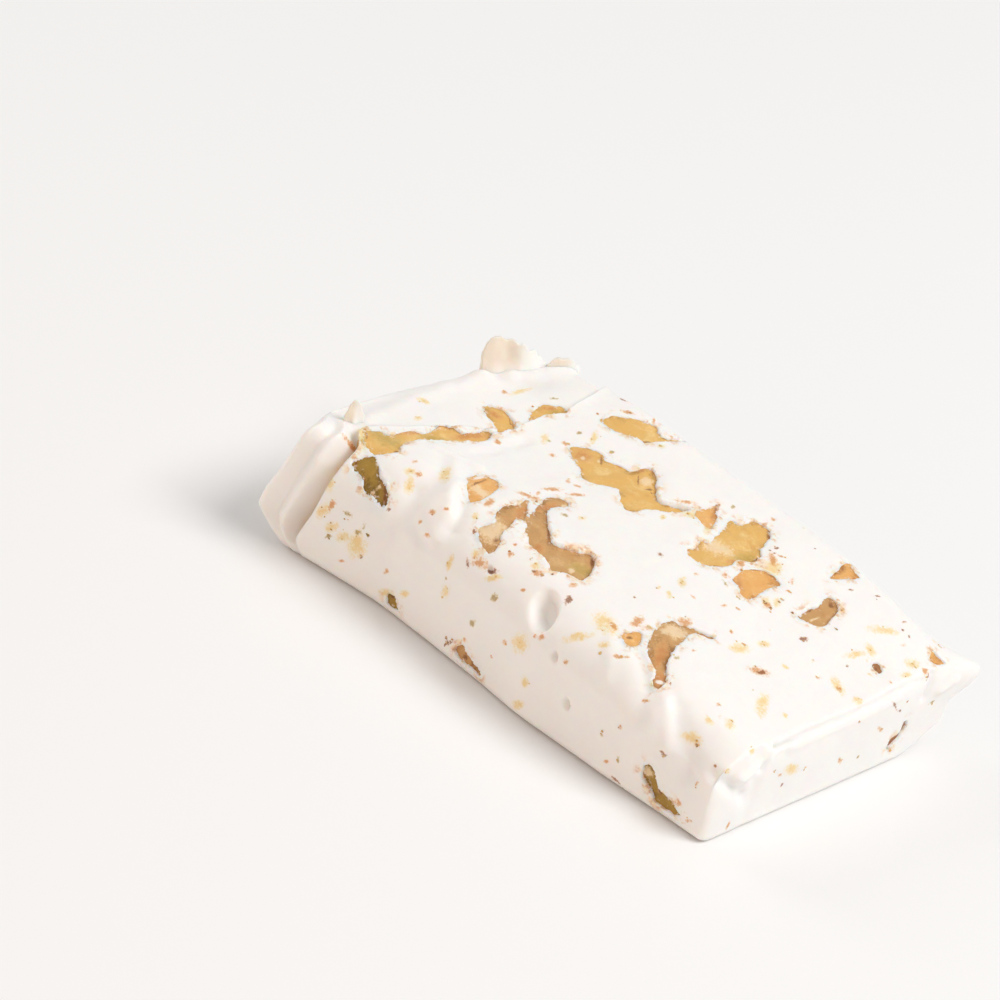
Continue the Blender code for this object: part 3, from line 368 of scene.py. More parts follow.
# Patches on the walnut pieces, made and placed in the same way: dark skin, copper and pale
# flesh, and nougat smeared over them.
PATCHES = {
    ("top", "moss"): (
        (-35.6, -17.6, 3.4, 2.4, 0), (-32.6, -11.0, 2.6, 1.4, 60), (11.0, 9.6, 3.4, 1.6, 80),
        (-28.8, 12.6, 1.6, 1.4, 0), (1.2, -16.0, 2.0, 2.4, -50)),
    ("top", "pale"): (
        (-12.2, -20.6, 3.4, 2.4, 0), (-19.0, -15.6, 2.0, 1.4, 0), (18.2, -14.4, 2.4, 1.6, 60),
        (7.6, 7.6, 2.8, 2.2, 40), (-30.5, -24.7, 0.4, 0.25, 15), (-30.2, -24.0, 0.4, 0.25, 10),
        (-18.3, 6.8, 0.6, 0.4, -60), (-16.5, 8.3, 0.5, 0.3, -55), (-10.4, -6.5, 1.2, 0.6, -60),
        (-9.2, 10.6, 1.3, 1.0, -65), (0.9, -17.6, 1.0, 0.5, -65), (17.4, -15.2, 1.7, 0.7, -85),
        (24.8, 10.0, 1.3, 0.25, 85)),
    ("top", "copper"): (
        (-12.2, -13.0, 2.8, 1.2, -60), (-11.6, -9.4, 3.4, 1.0, 80), (20.4, -19.8, 3.2, 1.2, -60),
        (23.6, -23.4, 1.8, 1.2, -60), (-35.1, -13.2, 1.8, 0.8, 70), (-33.4, 4.4, 1.5, 0.9, 20),
        (-30.7, -4.6, 3.9, 0.9, 70), (-30.0, 12.7, 1.5, 0.6, 60), (-18.7, 7.2, 2.1, 1.9, -45),
        (-12.5, 11.1, 1.2, 0.6, 30), (-12.1, -14.7, 3.6, 1.0, -60), (-11.3, 12.1, 0.7, 0.5, -65),
        (-5.8, 9.9, 1.5, 0.5, -35), (-5.1, -18.1, 1.7, 1.0, -45), (-2.5, -13.3, 2.9, 0.8, 55),
        (2.1, 12.6, 1.5, 0.5, -50), (10.8, 7.5, 1.6, 0.5, 65), (14.7, 4.3, 2.4, 0.7, -50),
        (20.3, -11.3, 1.6, 0.5, 45), (21.1, -21.2, 2.4, 0.7, -55)),
    ("front", "pale"): (
        (28.8, 5.2, 1.0, 0.8, 0),),
    ("top", "skin"): (
        (-37.6, -19.7, 1.3, 0.2, -45), (-35.3, -23.7, 0.8, 0.3, -35), (-34.7, -22.3, 0.5, 0.3, 30),
        (-33.8, -6.6, 2.6, 0.5, 65), (-32.6, -18.8, 0.7, 0.5, -80), (-30.7, 5.2, 2.2, 0.2, -30),
        (-28.9, -24.0, 1.4, 0.4, -30), (-20.6, -14.2, 2.8, 0.3, -85), (-20.0, 9.2, 1.9, 0.5, 30),
        (-16.5, 8.9, 1.8, 0.3, -50), (-15.8, 18.1, 1.9, 0.4, 60), (-14.9, 21.9, 1.1, 0.3, 60),
        (-12.8, 2.4, 1.4, 0.5, 10), (-10.2, -21.5, 0.7, 0.6, -30), (-10.1, 9.9, 1.6, 0.2, -50),
        (-9.3, -6.4, 0.7, 0.4, 85), (-7.7, 9.6, 0.9, 0.3, 55), (-6.8, -14.1, 3.4, 0.4, -50),
        (-1.2, -13.7, 2.0, 0.2, 60), (0.8, -12.9, 1.9, 0.4, -50), (1.1, 14.6, 1.3, 0.4, -60),
        (9.0, 17.7, 1.9, 0.6, -50), (10.0, 3.2, 3.2, 0.2, 60), (11.9, 11.3, 1.6, 0.2, 85),
        (13.7, 8.9, 2.0, 0.2, 60), (15.8, -21.7, 0.7, 0.5, 75), (19.9, -10.8, 1.9, 0.2, 45),
        (23.3, 11.0, 2.5, 0.2, -90), (23.3, -21.8, 1.6, 0.4, -45), (24.3, 14.4, 0.8, 0.6, -60),
        (36.0, 11.7, 0.6, 0.4, -70)),
    ("top", "film"): (
        (-21.6, -12.7, 1.9, 0.5, -90), (24.1, -23.8, 1.0, 0.3, 45)),
    ("front", "skin"): (
        (-22.0, 3.1, 0.6, 0.4, 45), (-6.4, 2.7, 0.8, 0.6, 45), (-4.7, 2.4, 0.6, 0.4, 40),
        (31.6, 3.6, 0.9, 0.5, -75)),
    ("right", "skin"): (
        (14.0, 4.8, 1.2, 0.7, 35), (15.9, 7.0, 0.7, 0.3, -40)),
}
# Where small marks are scattered on each side, from and to, and how many.
SCATTER = {
    "top": ((-43, -22), (40, 25), 36),
    "front": ((-38, 2), (40, 16), 14),
    "right": ((-24, 2), (20, 12), 7),
    "back": ((-38, 2), (38, 17), 46),
    "left": ((-22, 2), (22, 16), 22),
    "bottom": ((-36, -22), (38, 24), 46),
}
MARK_SEED = 21
CRUMB_SEED = 31
# A mark's light and deep colours, how strongly it shows, and between which strengths it fades.
MARK_LOOKS = {
    "yellow": ((0.93, 0.80, 0.50), (0.87, 0.62, 0.22), 0.80, 0.05, 1.0),
    "orange": ((0.91, 0.64, 0.36), (0.68, 0.30, 0.08), 0.85, 0.22, 0.90),
    "olive": ((0.84, 0.70, 0.38), (0.42, 0.28, 0.06), 0.80, 0.25, 0.85),
    "brown": ((0.72, 0.42, 0.22), (0.30, 0.10, 0.03), 0.85, 0.30, 0.75),
}
PATCH_LOOKS = {
    "moss": ((0.66, 0.48, 0.16), (0.46, 0.31, 0.07), 0.70, 0.15, 1.0),
    "copper": ((0.84, 0.48, 0.20), (0.60, 0.25, 0.08), 0.75, 0.15, 1.0),
    "pale": ((0.90, 0.66, 0.38), (0.90, 0.72, 0.48), 0.75, 0.20, 0.80),
    "skin": ((0.52, 0.22, 0.08), (0.18, 0.06, 0.02), 0.75, 0.35, 0.90),
    "film": ((0.90, 0.80, 0.70), (0.93, 0.88, 0.83), 0.85, 0.35, 0.65),
}

# Dark, middle and light tones of each kind of walnut surface.
WALNUT_TONES = {
    "gold": ((0.36, 0.18, 0.04), (0.76, 0.46, 0.14), (0.90, 0.66, 0.30)),
    "olive": ((0.15, 0.08, 0.01), (0.38, 0.23, 0.04), (0.68, 0.47, 0.15)),
    "tan": ((0.28, 0.12, 0.03), (0.58, 0.33, 0.13), (0.80, 0.54, 0.26)),
    "orange": ((0.42, 0.16, 0.04), (0.80, 0.43, 0.14), (0.92, 0.62, 0.29)),
    "brown": ((0.14, 0.04, 0.01), (0.34, 0.14, 0.05), (0.56, 0.30, 0.12)),
}
NOUGAT_COLOUR = (0.93, 0.90, 0.87)
PAINTED_SHADE_COLOUR = (0.74, 0.60, 0.44)            # painted shade: the warm dark tint laid in the groove beside the seam and on the folds' halves turned from the light
FLOOR_COLOUR = (0.90, 0.895, 0.89, 1.0)
FLOOR_SIZE = 4.0
SKY_COLOUR = (1.0, 0.995, 0.99, 1.0)
SKY_STRENGTH = 0.50
# Each lamp's name, place in metres, size, power in watts and colour.
LAMPS = (
    ("key", (0.75, 0.35, 1.1), 0.7, 12.0, (1.0, 0.995, 0.99)),
    ("side", (-1.0, -0.1, 0.5), 0.5, 2.2, (1.0, 0.98, 0.96)),
    ("bounce", (0.0, -0.8, 0.10), 0.5, 1.5, (1.0, 0.57, 0.28)),
)

# The camera was fitted to the bar's corners in the photograph by a scratch script.
CAMERA_PLACE = (0.472279, -0.758680, 0.518876)
CAMERA_TURN = (59.615, -14.239, 41.367)     # degrees
FIELD_OF_VIEW = 8.0
SENSOR = 36.0


def ramp(low, high, value):
    """0 below low, 1 above high and a smooth rise between; low may be above high."""
    t = np.clip((value - low) / (high - low), 0.0, 1.0)
    return t * t * (3.0 - 2.0 * t)


def hill(value, middle, width):
    """1 at the middle, falling away over the width."""
    return np.exp(-(((value - middle) / width) ** 2))


def smooth_line(points, reach=3.0):
    """A function that follows the (place, value) points with its corners rounded."""
    places, values = np.array(points, dtype=float).T
    fine = np.linspace(places[0] - 2 * reach, places[-1] + 2 * reach, 400)
    half = max(1, int(reach / (fine[1] - fine[0])))
    window = np.hanning(2 * half + 3)[1:-1]
    line = np.pad(np.interp(fine, places, values), half, mode="edge")
    soft = np.convolve(line, window / window.sum(), mode="valid")
    return lambda value: np.interp(value, fine, soft)


class Noise:
    """Smooth seeded noise in space, between about -1 and 1, for features of a given size."""

    CELLS = 32

    def __init__(self, seed):
        self.values = np.random.default_rng(seed).uniform(-1, 1, (self.CELLS,) * 3)

    def __call__(self, points, size, octaves=1):
        total, weight = 0.0, 1.0
        for octave in range(octaves):
            place = np.asarray(points) / size * 2.0 ** octave + 7.3 * octave
            cell = np.floor(place).astype(int)
            part = place - cell
            part = part * part * (3.0 - 2.0 * part)
            value = 0.0
            for corner in np.ndindex(2, 2, 2):
                share = np.prod(np.where(corner, part, 1.0 - part), axis=1)
                i, j, k = ((cell + corner) % self.CELLS).T
                value = value + share * self.values[i, j, k]
            total = total + weight * value
            weight *= 0.5
        return total


seam_on_front = smooth_line(SEAM_ON_FRONT, 1.0)
seam_on_top = smooth_line(SEAM_ON_TOP, 2.0)
wing_edge = smooth_line(WING_EDGE, 1.0)
end_edge = smooth_line(END_EDGE, 4.0)
wing_relief = smooth_line(WING_RELIEF, 0.5)
front_bulge = smooth_line(((-45, 0.0), (-33, 1.2), (-25, 1.9), (-15, 1.2), (-5, 0.3),
                           (5, -1.1), (22, -1.2), (41, -0.6)), 5.0)
soft_noise = Noise(11)
fine_noise = Noise(12)
edge_noise = Noise(13)


def top_height(x, y):
    """Height of the top, which swells over the middle and thins towards the right end."""
    thin_end = RIGHT_DROP * np.clip((x - RIGHT_DROP_START) / (RIGHT_END - RIGHT_DROP_START),
                                    0, 1) ** 2
    fold_end = (FOLD_DROP + FOLD_DROP_BACK * ramp(6, 18, y)) * np.clip((-33 - x) / 12, 0, 1) ** 2
    back = BACK_RISE * ramp(4, 20, y) * ramp(-38, -30, x)
    wave = WAVE_RISE * np.sin(x / 8.0 + 1.2) * np.cos(y / 7.0)
    peak = WING_PEAK * hill(x, -43.5, 4.0) * ramp(-16, -24, y)
    return HEIGHT - thin_end - fold_end + wave + back + peak


def near_line(points, line, width):
    """1 on a line in space, falling away over the width."""
    line = np.array(line)
    away = np.full(len(points), np.inf)
    for start, end in zip(line[:-1], line[1:]):
        side = end - start
        t = np.clip((points - start) @ side / (side @ side), 0, 1)
        away = np.minimum(away, np.linalg.norm(points - start - t[:, None] * side, axis=1))
    return hill(away, 0.0, width)


def bubble(points, middle, size, along):
    """1 in an oval air bubble: crisp at its right edge and soft at its left."""
    apart = points - middle
    outwards = np.array((0.0, np.sign(middle[1]), 0.6))
    across = np.cross(along, outwards)
    across /= np.linalg.norm(across)
    u = apart @ np.array(along) / size[0]
    v = apart @ across / size[1]
    away = np.sqrt(u ** 2 + v ** 2 + (np.linalg.norm(apart, axis=1) / (3 * size[0])) ** 4)
    right = ramp(-0.4, 0.4, np.sign(across[0]) * v)
    return ramp(1.3, 0.3, away) * (1 - right) + ramp(1.12, 0.75, away) * right


def bar_surface(block):
    """Move points on the cube -1..1 onto the bar: their places in mm, the way out, and how much
    painted shade the groove beside the seam gets.
    """
    a, b, c = block.T
    half = np.array([(RIGHT_END - LEFT_END) / 2, HALF_WIDTH, HEIGHT / 2])
    middle = (RIGHT_END + LEFT_END) / 2
    past_seam = SEAM_STATION - (a * half[0] + middle)
    upper = ramp(-0.6, 0.4, c)
    front_radius = FRONT_RADIUS + (WING_RADIUS - FRONT_RADIUS) * ramp(0, 5, past_seam)
    shoulder = front_radius + (BACK_RADIUS - front_radius) * ramp(-0.2, 0.2, b)
    side_radius = BOTTOM_RADIUS + (shoulder - BOTTOM_RADIUS) * upper
    radii = np.stack([np.full_like(a, END_RADIUS), side_radius, side_radius * 0.9], axis=1)
    corner = block * half
    inner = np.clip(corner, radii - half, half - radii)
    away = (corner - inner) / radii
    away /= np.linalg.norm(away, axis=1, keepdims=True)
    x, y, z = (inner + radii * away).T
    out = away / radii
    out /= np.linalg.norm(out, axis=1, keepdims=True)

    # The seam's station is drawn along the seam, and the stations beside it follow, out to
    # the edge of the wing and of the folded end on one side.
    x = x + middle
    level = (z + HEIGHT / 2) / HEIGHT
    height = level * HEIGHT
    seam = seam_on_front(height) + (seam_on_top(y) - seam_on_front(height)) * ramp(-24, -20, y)
    seam = seam + (SEAM_STATION - seam) * ramp(0.3, 0.0, level) * ramp(-26, -22, y)
    edge = end_edge(y) + (wing_edge(height) - end_edge(y)) * ramp(-17, -25, y)
    on_wing = np.clip((SEAM_STATION - x) / (SEAM_STATION - LEFT_END), 0, 1)
    on_bar = np.clip((x - SEAM_STATION) / (FAR_FROM_SEAM - SEAM_STATION), 0, 1)
    x = x + (edge - LEFT_END) * on_wing + (seam - SEAM_STATION) * (1 - on_wing) * (1 - on_bar)

    z = level * top_height(x, y)
    y = y + front_bulge(x) * ramp(-5, -25, y)

    # The seam: a lip on the main side, a groove and pleats on the front of the wing, deepest
    # part of the way up, and a low step on the top.
    on_wall = ramp(-18, -24, y)
    on_top = ramp(0.75, 1.0, level) * (1 - on_wall)
    up_wall = 0.3 + 0.7 * ramp(1.0, 4.5, z) + 0.25 * hill(z, 6.0, 2.0)
    groove = wing_relief(past_seam) * on_wall * up_wall * ramp(0, 1, z)
    step = SEAM_STEP * on_top
    lip = SEAM_LIP * np.exp(np.minimum(past_seam, 0) / 1.2)
    lip = lip * np.maximum(on_wall * ramp(0, 2, z), on_top)
    move = np.where(past_seam > 0, groove - step, lip)

    for rise, along, across, up in PRESSED:
        move = move + rise * hill(x, *along) * hill(y, *across) * hill(z, *up)
    # Uneven all over, as hand-pulled nougat is, but flat underneath.
    place = np.stack([x, y, z], axis=1)
    uneven = LONG_UNEVEN * soft_noise(place, 7.0) + SHORT_UNEVEN * soft_noise(place, 2.2, 2)
    move = move + uneven * ramp(0.0, 2.5, z)
    move = np.where(z < 0.05, 0.0, move)
    x, y, z = (place + out * move[:, None]).T

    # The back corner of the thin end is pinched out into an ear, clear of the floor.
    pinch = ramp(31, 40.5, x) * ramp(17, 27, y)
    y = y + EAR_ACROSS * pinch * hill(z, 10.5, 4.0)
    x = x + EAR_ALONG * pinch * hill(z, 12.0, 3.5)
    z = z + EAR_UP * pinch * ramp(10.0, 2.0, z)

    place = np.stack([x, y, z], axis=1)
    fine = np.zeros(len(place))
    for rise, width, line in CREASES:
        fine += rise * near_line(place, line, width)
    fine *= 1.0 + 0.5 * soft_noise(place, 2.5)
    for middle, size, along, depth in BUBBLES:
        fine -= depth * bubble(place, middle, size, along)
    place += out * np.where(z < 0.05, 0.0, fine)[:, None]
    place[:, 2] = np.maximum(place[:, 2], 0)
    # Painted shade: how strongly the groove beside the seam is tinted darker and warmer in the
    # material.
    painted_groove_shade = on_wall * up_wall * ramp(1.7, 0.2, past_seam) * (past_seam > 0)
    return place, out, painted_groove_shade


def to_frame(points):
    """Millimetres in the bar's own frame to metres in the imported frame."""
    return (np.asarray(points, dtype=float) - (*FOOTPRINT_MIDDLE, 0.0)) * MM


def new_mesh(name, points, faces, fields=None):
    """A mesh object of points in mm, with a value for each point in each named field."""
    mesh = bpy.data.meshes.new(name)
    faces = np.asarray(faces)
    corners = faces.shape[1]
    mesh.vertices.add(len(points))
    mesh.vertices.foreach_set("co", to_frame(points).ravel())
    mesh.loops.add(faces.size)
    mesh.loops.foreach_set("vertex_index", faces.ravel())
    mesh.polygons.add(len(faces))
    mesh.polygons.foreach_set("loop_start", np.arange(0, faces.size, corners))
    mesh.update(calc_edges=True)
    mesh.validate()
    for field, values in (fields or {}).items():
        attribute = mesh.attributes.new(field, "FLOAT", "POINT")
        attribute.data.foreach_set("value", np.asarray(values, dtype=np.float32))
    mesh.shade_smooth()
    thing = bpy.data.objects.new(name, mesh)
    bpy.context.scene.collection.objects.link(thing)
    return thing


def box_grid(places):
    """The surface of the cube -1..1 cut at the places along its axes: points and squares."""
    counts = [len(p) for p in places]
    on_edge = [np.isin(np.arange(n), (0, n - 1)) for n in counts]
    shell = (on_edge[0][:, None, None] | on_edge[1][None, :, None] | on_edge[2][None, None, :])
    index = np.full(counts, -1)
    index[shell] = np.arange(shell.sum())
    i, j, k = np.nonzero(shell)
    points = np.stack([places[0][i], places[1][j], places[2][k]], axis=1)
    faces = []
    for axis in range(3):
        for end in (0, -1):
            sheet = index.take(end, axis=axis)
            squares = np.stack([sheet[:-1, :-1], sheet[1:, :-1], sheet[1:, 1:],
                                sheet[:-1, 1:]], axis=-1).reshape(-1, 4)
            facing_in = (end == 0) != (axis == 1)
            faces.append(squares[:, ::-1] if facing_in else squares)
    return points, np.concatenate(faces)


def evenly(low, high, step):
    return np.linspace(low, high, max(2, round((high - low) / step) + 1))


def bar_grid(step):
    """The bar's surface at that fineness, with a clean cut along the seam."""
    half = (RIGHT_END - LEFT_END) / 2
    middle = (RIGHT_END + LEFT_END) / 2
    along = np.concatenate([evenly(LEFT_END, SEAM_STATION - SEAM_WIDTH / 2, step * 0.75),
                            evenly(SEAM_STATION + SEAM_WIDTH / 2, RIGHT_END, step)])
    block, faces = box_grid([(along - middle) / half, evenly(-1, 1, step / HALF_WIDTH),
                             evenly(-1, 1, 2 * step / HEIGHT)])
    points, out, groove = bar_surface(block)
    return points, faces, out, groove


def smooth_ring(points, spacing):
    """A closed smooth line through the points, at about that spacing."""
    corners = np.array(points, dtype=float)
    before, after = np.roll(corners, 1, axis=0), np.roll(corners, -1, axis=0)
    beyond = np.roll(corners, -2, axis=0)
    ring = []
    for p0, p1, p2, p3 in zip(before, corners, after, beyond):
        count = max(2, round(np.linalg.norm(p2 - p1) / spacing))
        for t in np.arange(count) / count:
            ring.append(0.5 * (2 * p1 + (p2 - p0) * t + (2 * p0 - 5 * p1 + 4 * p2 - p3) * t * t
                               + (3 * p1 - p0 - 3 * p2 + p3) * t ** 3))
    return np.array(ring)


def outward(ring):
    """The unit directions out of a closed line."""
    along = np.roll(ring, -1, axis=0) - np.roll(ring, 1, axis=0)
    along /= np.linalg.norm(along, axis=1, keepdims=True)
    x, y = ring.T
    turn = np.sign(np.sum(x * np.roll(y, -1) - np.roll(x, -1) * y))
    return np.stack([along[:, 1], -along[:, 0]], axis=1) * turn


def torn_ring(points, number):
    """The outline with a torn edge: ragged in some stretches and clean in others."""
    ring = smooth_ring(points, 0.22)
    place = np.column_stack([ring, np.full(len(ring), 5.7 * number)])
    ragged = 0.35 + 0.65 * ramp(-0.3, 0.4, edge_noise(place, 3.5))
    wobble = 0.24 * edge_noise(place + 3, 1.5) + 0.20 * ragged * edge_noise(place + 9, 0.55)
    return ring + outward(ring) * wobble[:, None]


def distance_inside(points, ring):
    """How far inside a closed line each point lies, and the nearest place on the line."""
    nearest = np.full(len(points), np.inf)
    place = np.zeros_like(points)
    inside = np.zeros(len(points), dtype=bool)
    x, y = points.T
    for start, end in zip(ring, np.roll(ring, -1, axis=0)):
        side = end - start
        t = np.clip((points - start) @ side / (side @ side), 0, 1)
        on_side = start + t[:, None] * side
        away = np.hypot(*(points - on_side).T)
        closer = away < nearest
        nearest[closer] = away[closer]
        place[closer] = on_side[closer]
        if side[1]:
            level = (start[1] > y) != (end[1] > y)
            inside ^= level & (x < side[0] * (y - start[1]) / side[1] + start[0])
    return np.where(inside, nearest, -nearest), place


def axes_of(side):
    """A side's outward direction and the directions of an outline's two axes on it."""
    return (np.array(axis, dtype=float) for axis in SIDES[side])


def near_outline(points, out, side, ring, reach):
    """Which points face a side and lie within reach of an outline, and where in its axes."""
    away, first, second = axes_of(side)
    flat = np.stack([points @ first, points @ second], axis=1)
    low, high = ring.min(axis=0) - reach, ring.max(axis=0) + reach
    chosen = np.all((flat > low) & (flat < high), axis=1) & (out @ away > 0.35)
    return np.nonzero(chosen)[0], flat


def carve_pits(points, out):
    """Open a pit with a torn rim over each walnut piece. Gives how near each rim is."""
    inside = np.full(len(points), -9.0)
    merged = np.zeros(len(points))
    sideways = np.zeros_like(points)
    deeper = np.zeros_like(points)
    for number, (side, _, _, outline) in enumerate(WALNUTS, start=1):
        away, first, second = axes_of(side)
        ring = torn_ring(outline, number)
        chosen, flat = near_outline(points, out, side, ring, 3.0)
        depth, nearest = distance_inside(flat[chosen], ring)
        merged[chosen] += np.exp(depth / MERGE)
        best = depth > inside[chosen]
        chosen, depth = chosen[best], depth[best]
        shift = nearest[best] - flat[chosen]
        move = shift[:, :1] * first + shift[:, 1:] * second
        drop = -np.sum(out[chosen] * move, axis=1) / (out[chosen] @ away)
        inside[chosen] = depth
        sideways[chosen] = move + away * drop[:, None]
        deeper[chosen] = -away
    joined = MERGE * np.log(np.maximum(merged, 1e-6))
    joined = np.where(joined > inside + 0.05, joined, inside)
    snap = (np.abs(inside) < 0.5 * STEP) & (joined == inside)
    points += np.where(snap[:, None], sideways, 0.0)
    down = np.where(snap, 0.0, PIT_DEPTH * ramp(0.0, WALL, joined - 0.4 * STEP))
    curl = 0.12 * hill(joined, -0.25, 0.3) * (edge_noise(points, 2.0) + 0.3)
    dip = 0.16 * hill(joined, -0.2, 0.8)
    down = down + np.where(joined > 0.5 * STEP, 0.0, dip - curl)
    points += deeper * down[:, None]
    return np.minimum(np.abs(joined), 9.0)


def listed(table):
    """A table of marks as rows of side, kind, place, size and turn."""
    return [(side, kind, row[:2], row[2:4], row[4])
            for (side, kind), rows in table.items() for row in rows]


def mark_field(points, out, side, place, size, turn):
    """Which points a mark reaches, and how strongly: 1 at its middle, 0.37 at its edge."""
    angle = math.radians(turn)
    chosen, flat = near_outline(points, out, side, np.array([place]), 2.2 * max(size))
    u, v = (flat[chosen] - place).T
    along = (u * math.cos(angle) + v * math.sin(angle)) / size[0]
    across = (v * math.cos(angle) - u * math.sin(angle)) / size[1]
    return chosen, np.exp(-(along ** 2 + across ** 2))


def mark_fields(points, out, marks, kinds):
    """How strongly each kind of mark shows at each point."""
    fields = {kind: np.zeros(len(points)) for kind in kinds}
    for side, kind, place, size, turn in marks:
        spread = SOFT_SPREAD if kind == "yellow" else 1.0
        chosen, strength = mark_field(points, out, side, place,
                                      (size[0] * spread, size[1] * spread), turn)
        fields[kind][chosen] = np.maximum(fields[kind][chosen], strength)
    return fields


def scattered_marks(seed):
    """Small stains and crumbs all over the bar: more of them where none are listed."""
    rng = np.random.default_rng(seed)
    kinds = list(MARK_LOOKS)
    marks = []
    for side, (low, high, count) in SCATTER.items():
        for _ in range(count):
            kind = kinds[rng.choice(4, p=(0.45, 0.30, 0.15, 0.10))]
            length = rng.uniform(0.3, 1.0) * (1.3 if kind == "yellow" else 0.8)
            marks.append((side, kind, tuple(rng.uniform(low, high)),
                          (length, length * rng.uniform(0.35, 0.9)), rng.uniform(-90, 90)))
    return marks


def scattered_crumbs(seed):
    """Loose crumbs of each finish: a side, a spot and a size. The bar rests on its underside,
    so that has none."""
    rng = np.random.default_rng(seed)
    finishes = {"brown": "tan", "orange": "orange", "olive": "gold", "yellow": "gold"}
    crumbs = {finish: [] for finish in finishes.values()}
    for side, kind, spot, size, _ in listed(MARKS) + scattered_marks(MARK_SEED):
        if side == "bottom":
            continue
        for _ in range(rng.integers(0, 3)):
            place = np.array(spot) + rng.normal(0.0, 0.45, 2) * size[0]
            crumbs[finishes[kind]].append((side, place, rng.uniform(0.10, 0.26)))
    return crumbs


def make_nougat():
    points, faces, out, groove = bar_grid(STEP)
    rim = carve_pits(points, out)
    marks = listed(MARKS) + scattered_marks(MARK_SEED)
    fields = mark_fields(points, out, marks, MARK_LOOKS)
    fields["rim"] = rim
    # The groove field carries the painted shade of the groove beside the seam.
    fields["groove"] = groove
    return new_mesh("nougat_bar", points, faces, fields)


def make_fold(name, stations, thickness):
    """A thin crumpled fold that stands up, from its feet inside the bar to its ragged tip."""
    feet, tips = (np.array(side, dtype=float) for side in zip(*stations))
    block, faces = box_grid([evenly(-1, 1, 0.04), evenly(-1, 1, 0.5), evenly(-1, 1, 0.05)])
    along, b, c = block.T
    along = (along + 1) / 2 * (len(stations) - 1)
    up = (c + 1) / 2
    foot, tip, after = (
        np.stack([smooth_line(list(enumerate(ends[:, k])), 0.5)(along + step)
                  for k in range(3)], axis=1)
        for ends, step in ((feet, 0.0), (tips, 0.0), (tips, 0.2)))
    ragged = 1.0 - FOLD_TORN * np.abs(edge_noise(np.stack([along, along, along], axis=1), 0.9))
    centre = foot + (tip - foot) * (up * ragged)[:, None]
    forward = after - tip
    across = np.stack([-forward[:, 1], forward[:, 0], np.zeros(len(up))], axis=1)
    across /= np.linalg.norm(across, axis=1, keepdims=True) + 1e-9
    thick = thickness * (1.0 - FOLD_TAPER * up + FOLD_FLARE * ramp(0.66, 0.40, up))
    crumple = 0.40 * soft_noise(centre, 2.4) + 0.10 * fine_noise(centre, 0.9)
    points = centre + across * (b * thick / 2 + crumple * up)[:, None]
    fields = {kind: np.zeros(len(points)) for kind in MARK_LOOKS}
    fields["rim"] = np.full(len(points), 9.0)
    # Painted shade: the first half of a fold is turned from the light, so its colour is tinted
    # darker and warmer there.
    part = along / (len(stations) - 1)
    fields["groove"] = FOLD_SHADE * ramp(0.60, 0.30, part) * ramp(0.3, 0.6, up)
    return new_mesh(name, points, faces, fields)


def ground_under(tree, side, flat):
    """The bar's surface, without pits, below places given in a side's axes."""
    away, first, second = (Vector(v) for v in SIDES[side])
    levels = []
    for u, v in flat:
        start = first * u + second * v + away * 80
        hit = tree.ray_cast(start, -away)[0]
        levels.append(hit.dot(away) if hit else 0.0)
    return np.array(levels)


def facets_of(ring, number):
    """The broken faces of a piece: places, heights, slopes and tones."""
    rng = np.random.default_rng(100 + number)
    low, high = ring.min(axis=0), ring.max(axis=0)
    count = max(4, int(np.prod(high - low) / 5))
    places = rng.uniform(low, high, (count, 2))
    heights = rng.uniform(-0.15, 0.15, count)
    tones = rng.uniform(0.34, 0.62, count)
    slopes = rng.uniform(-0.12, 0.12, (count, 2))
    return places, heights, slopes, tones


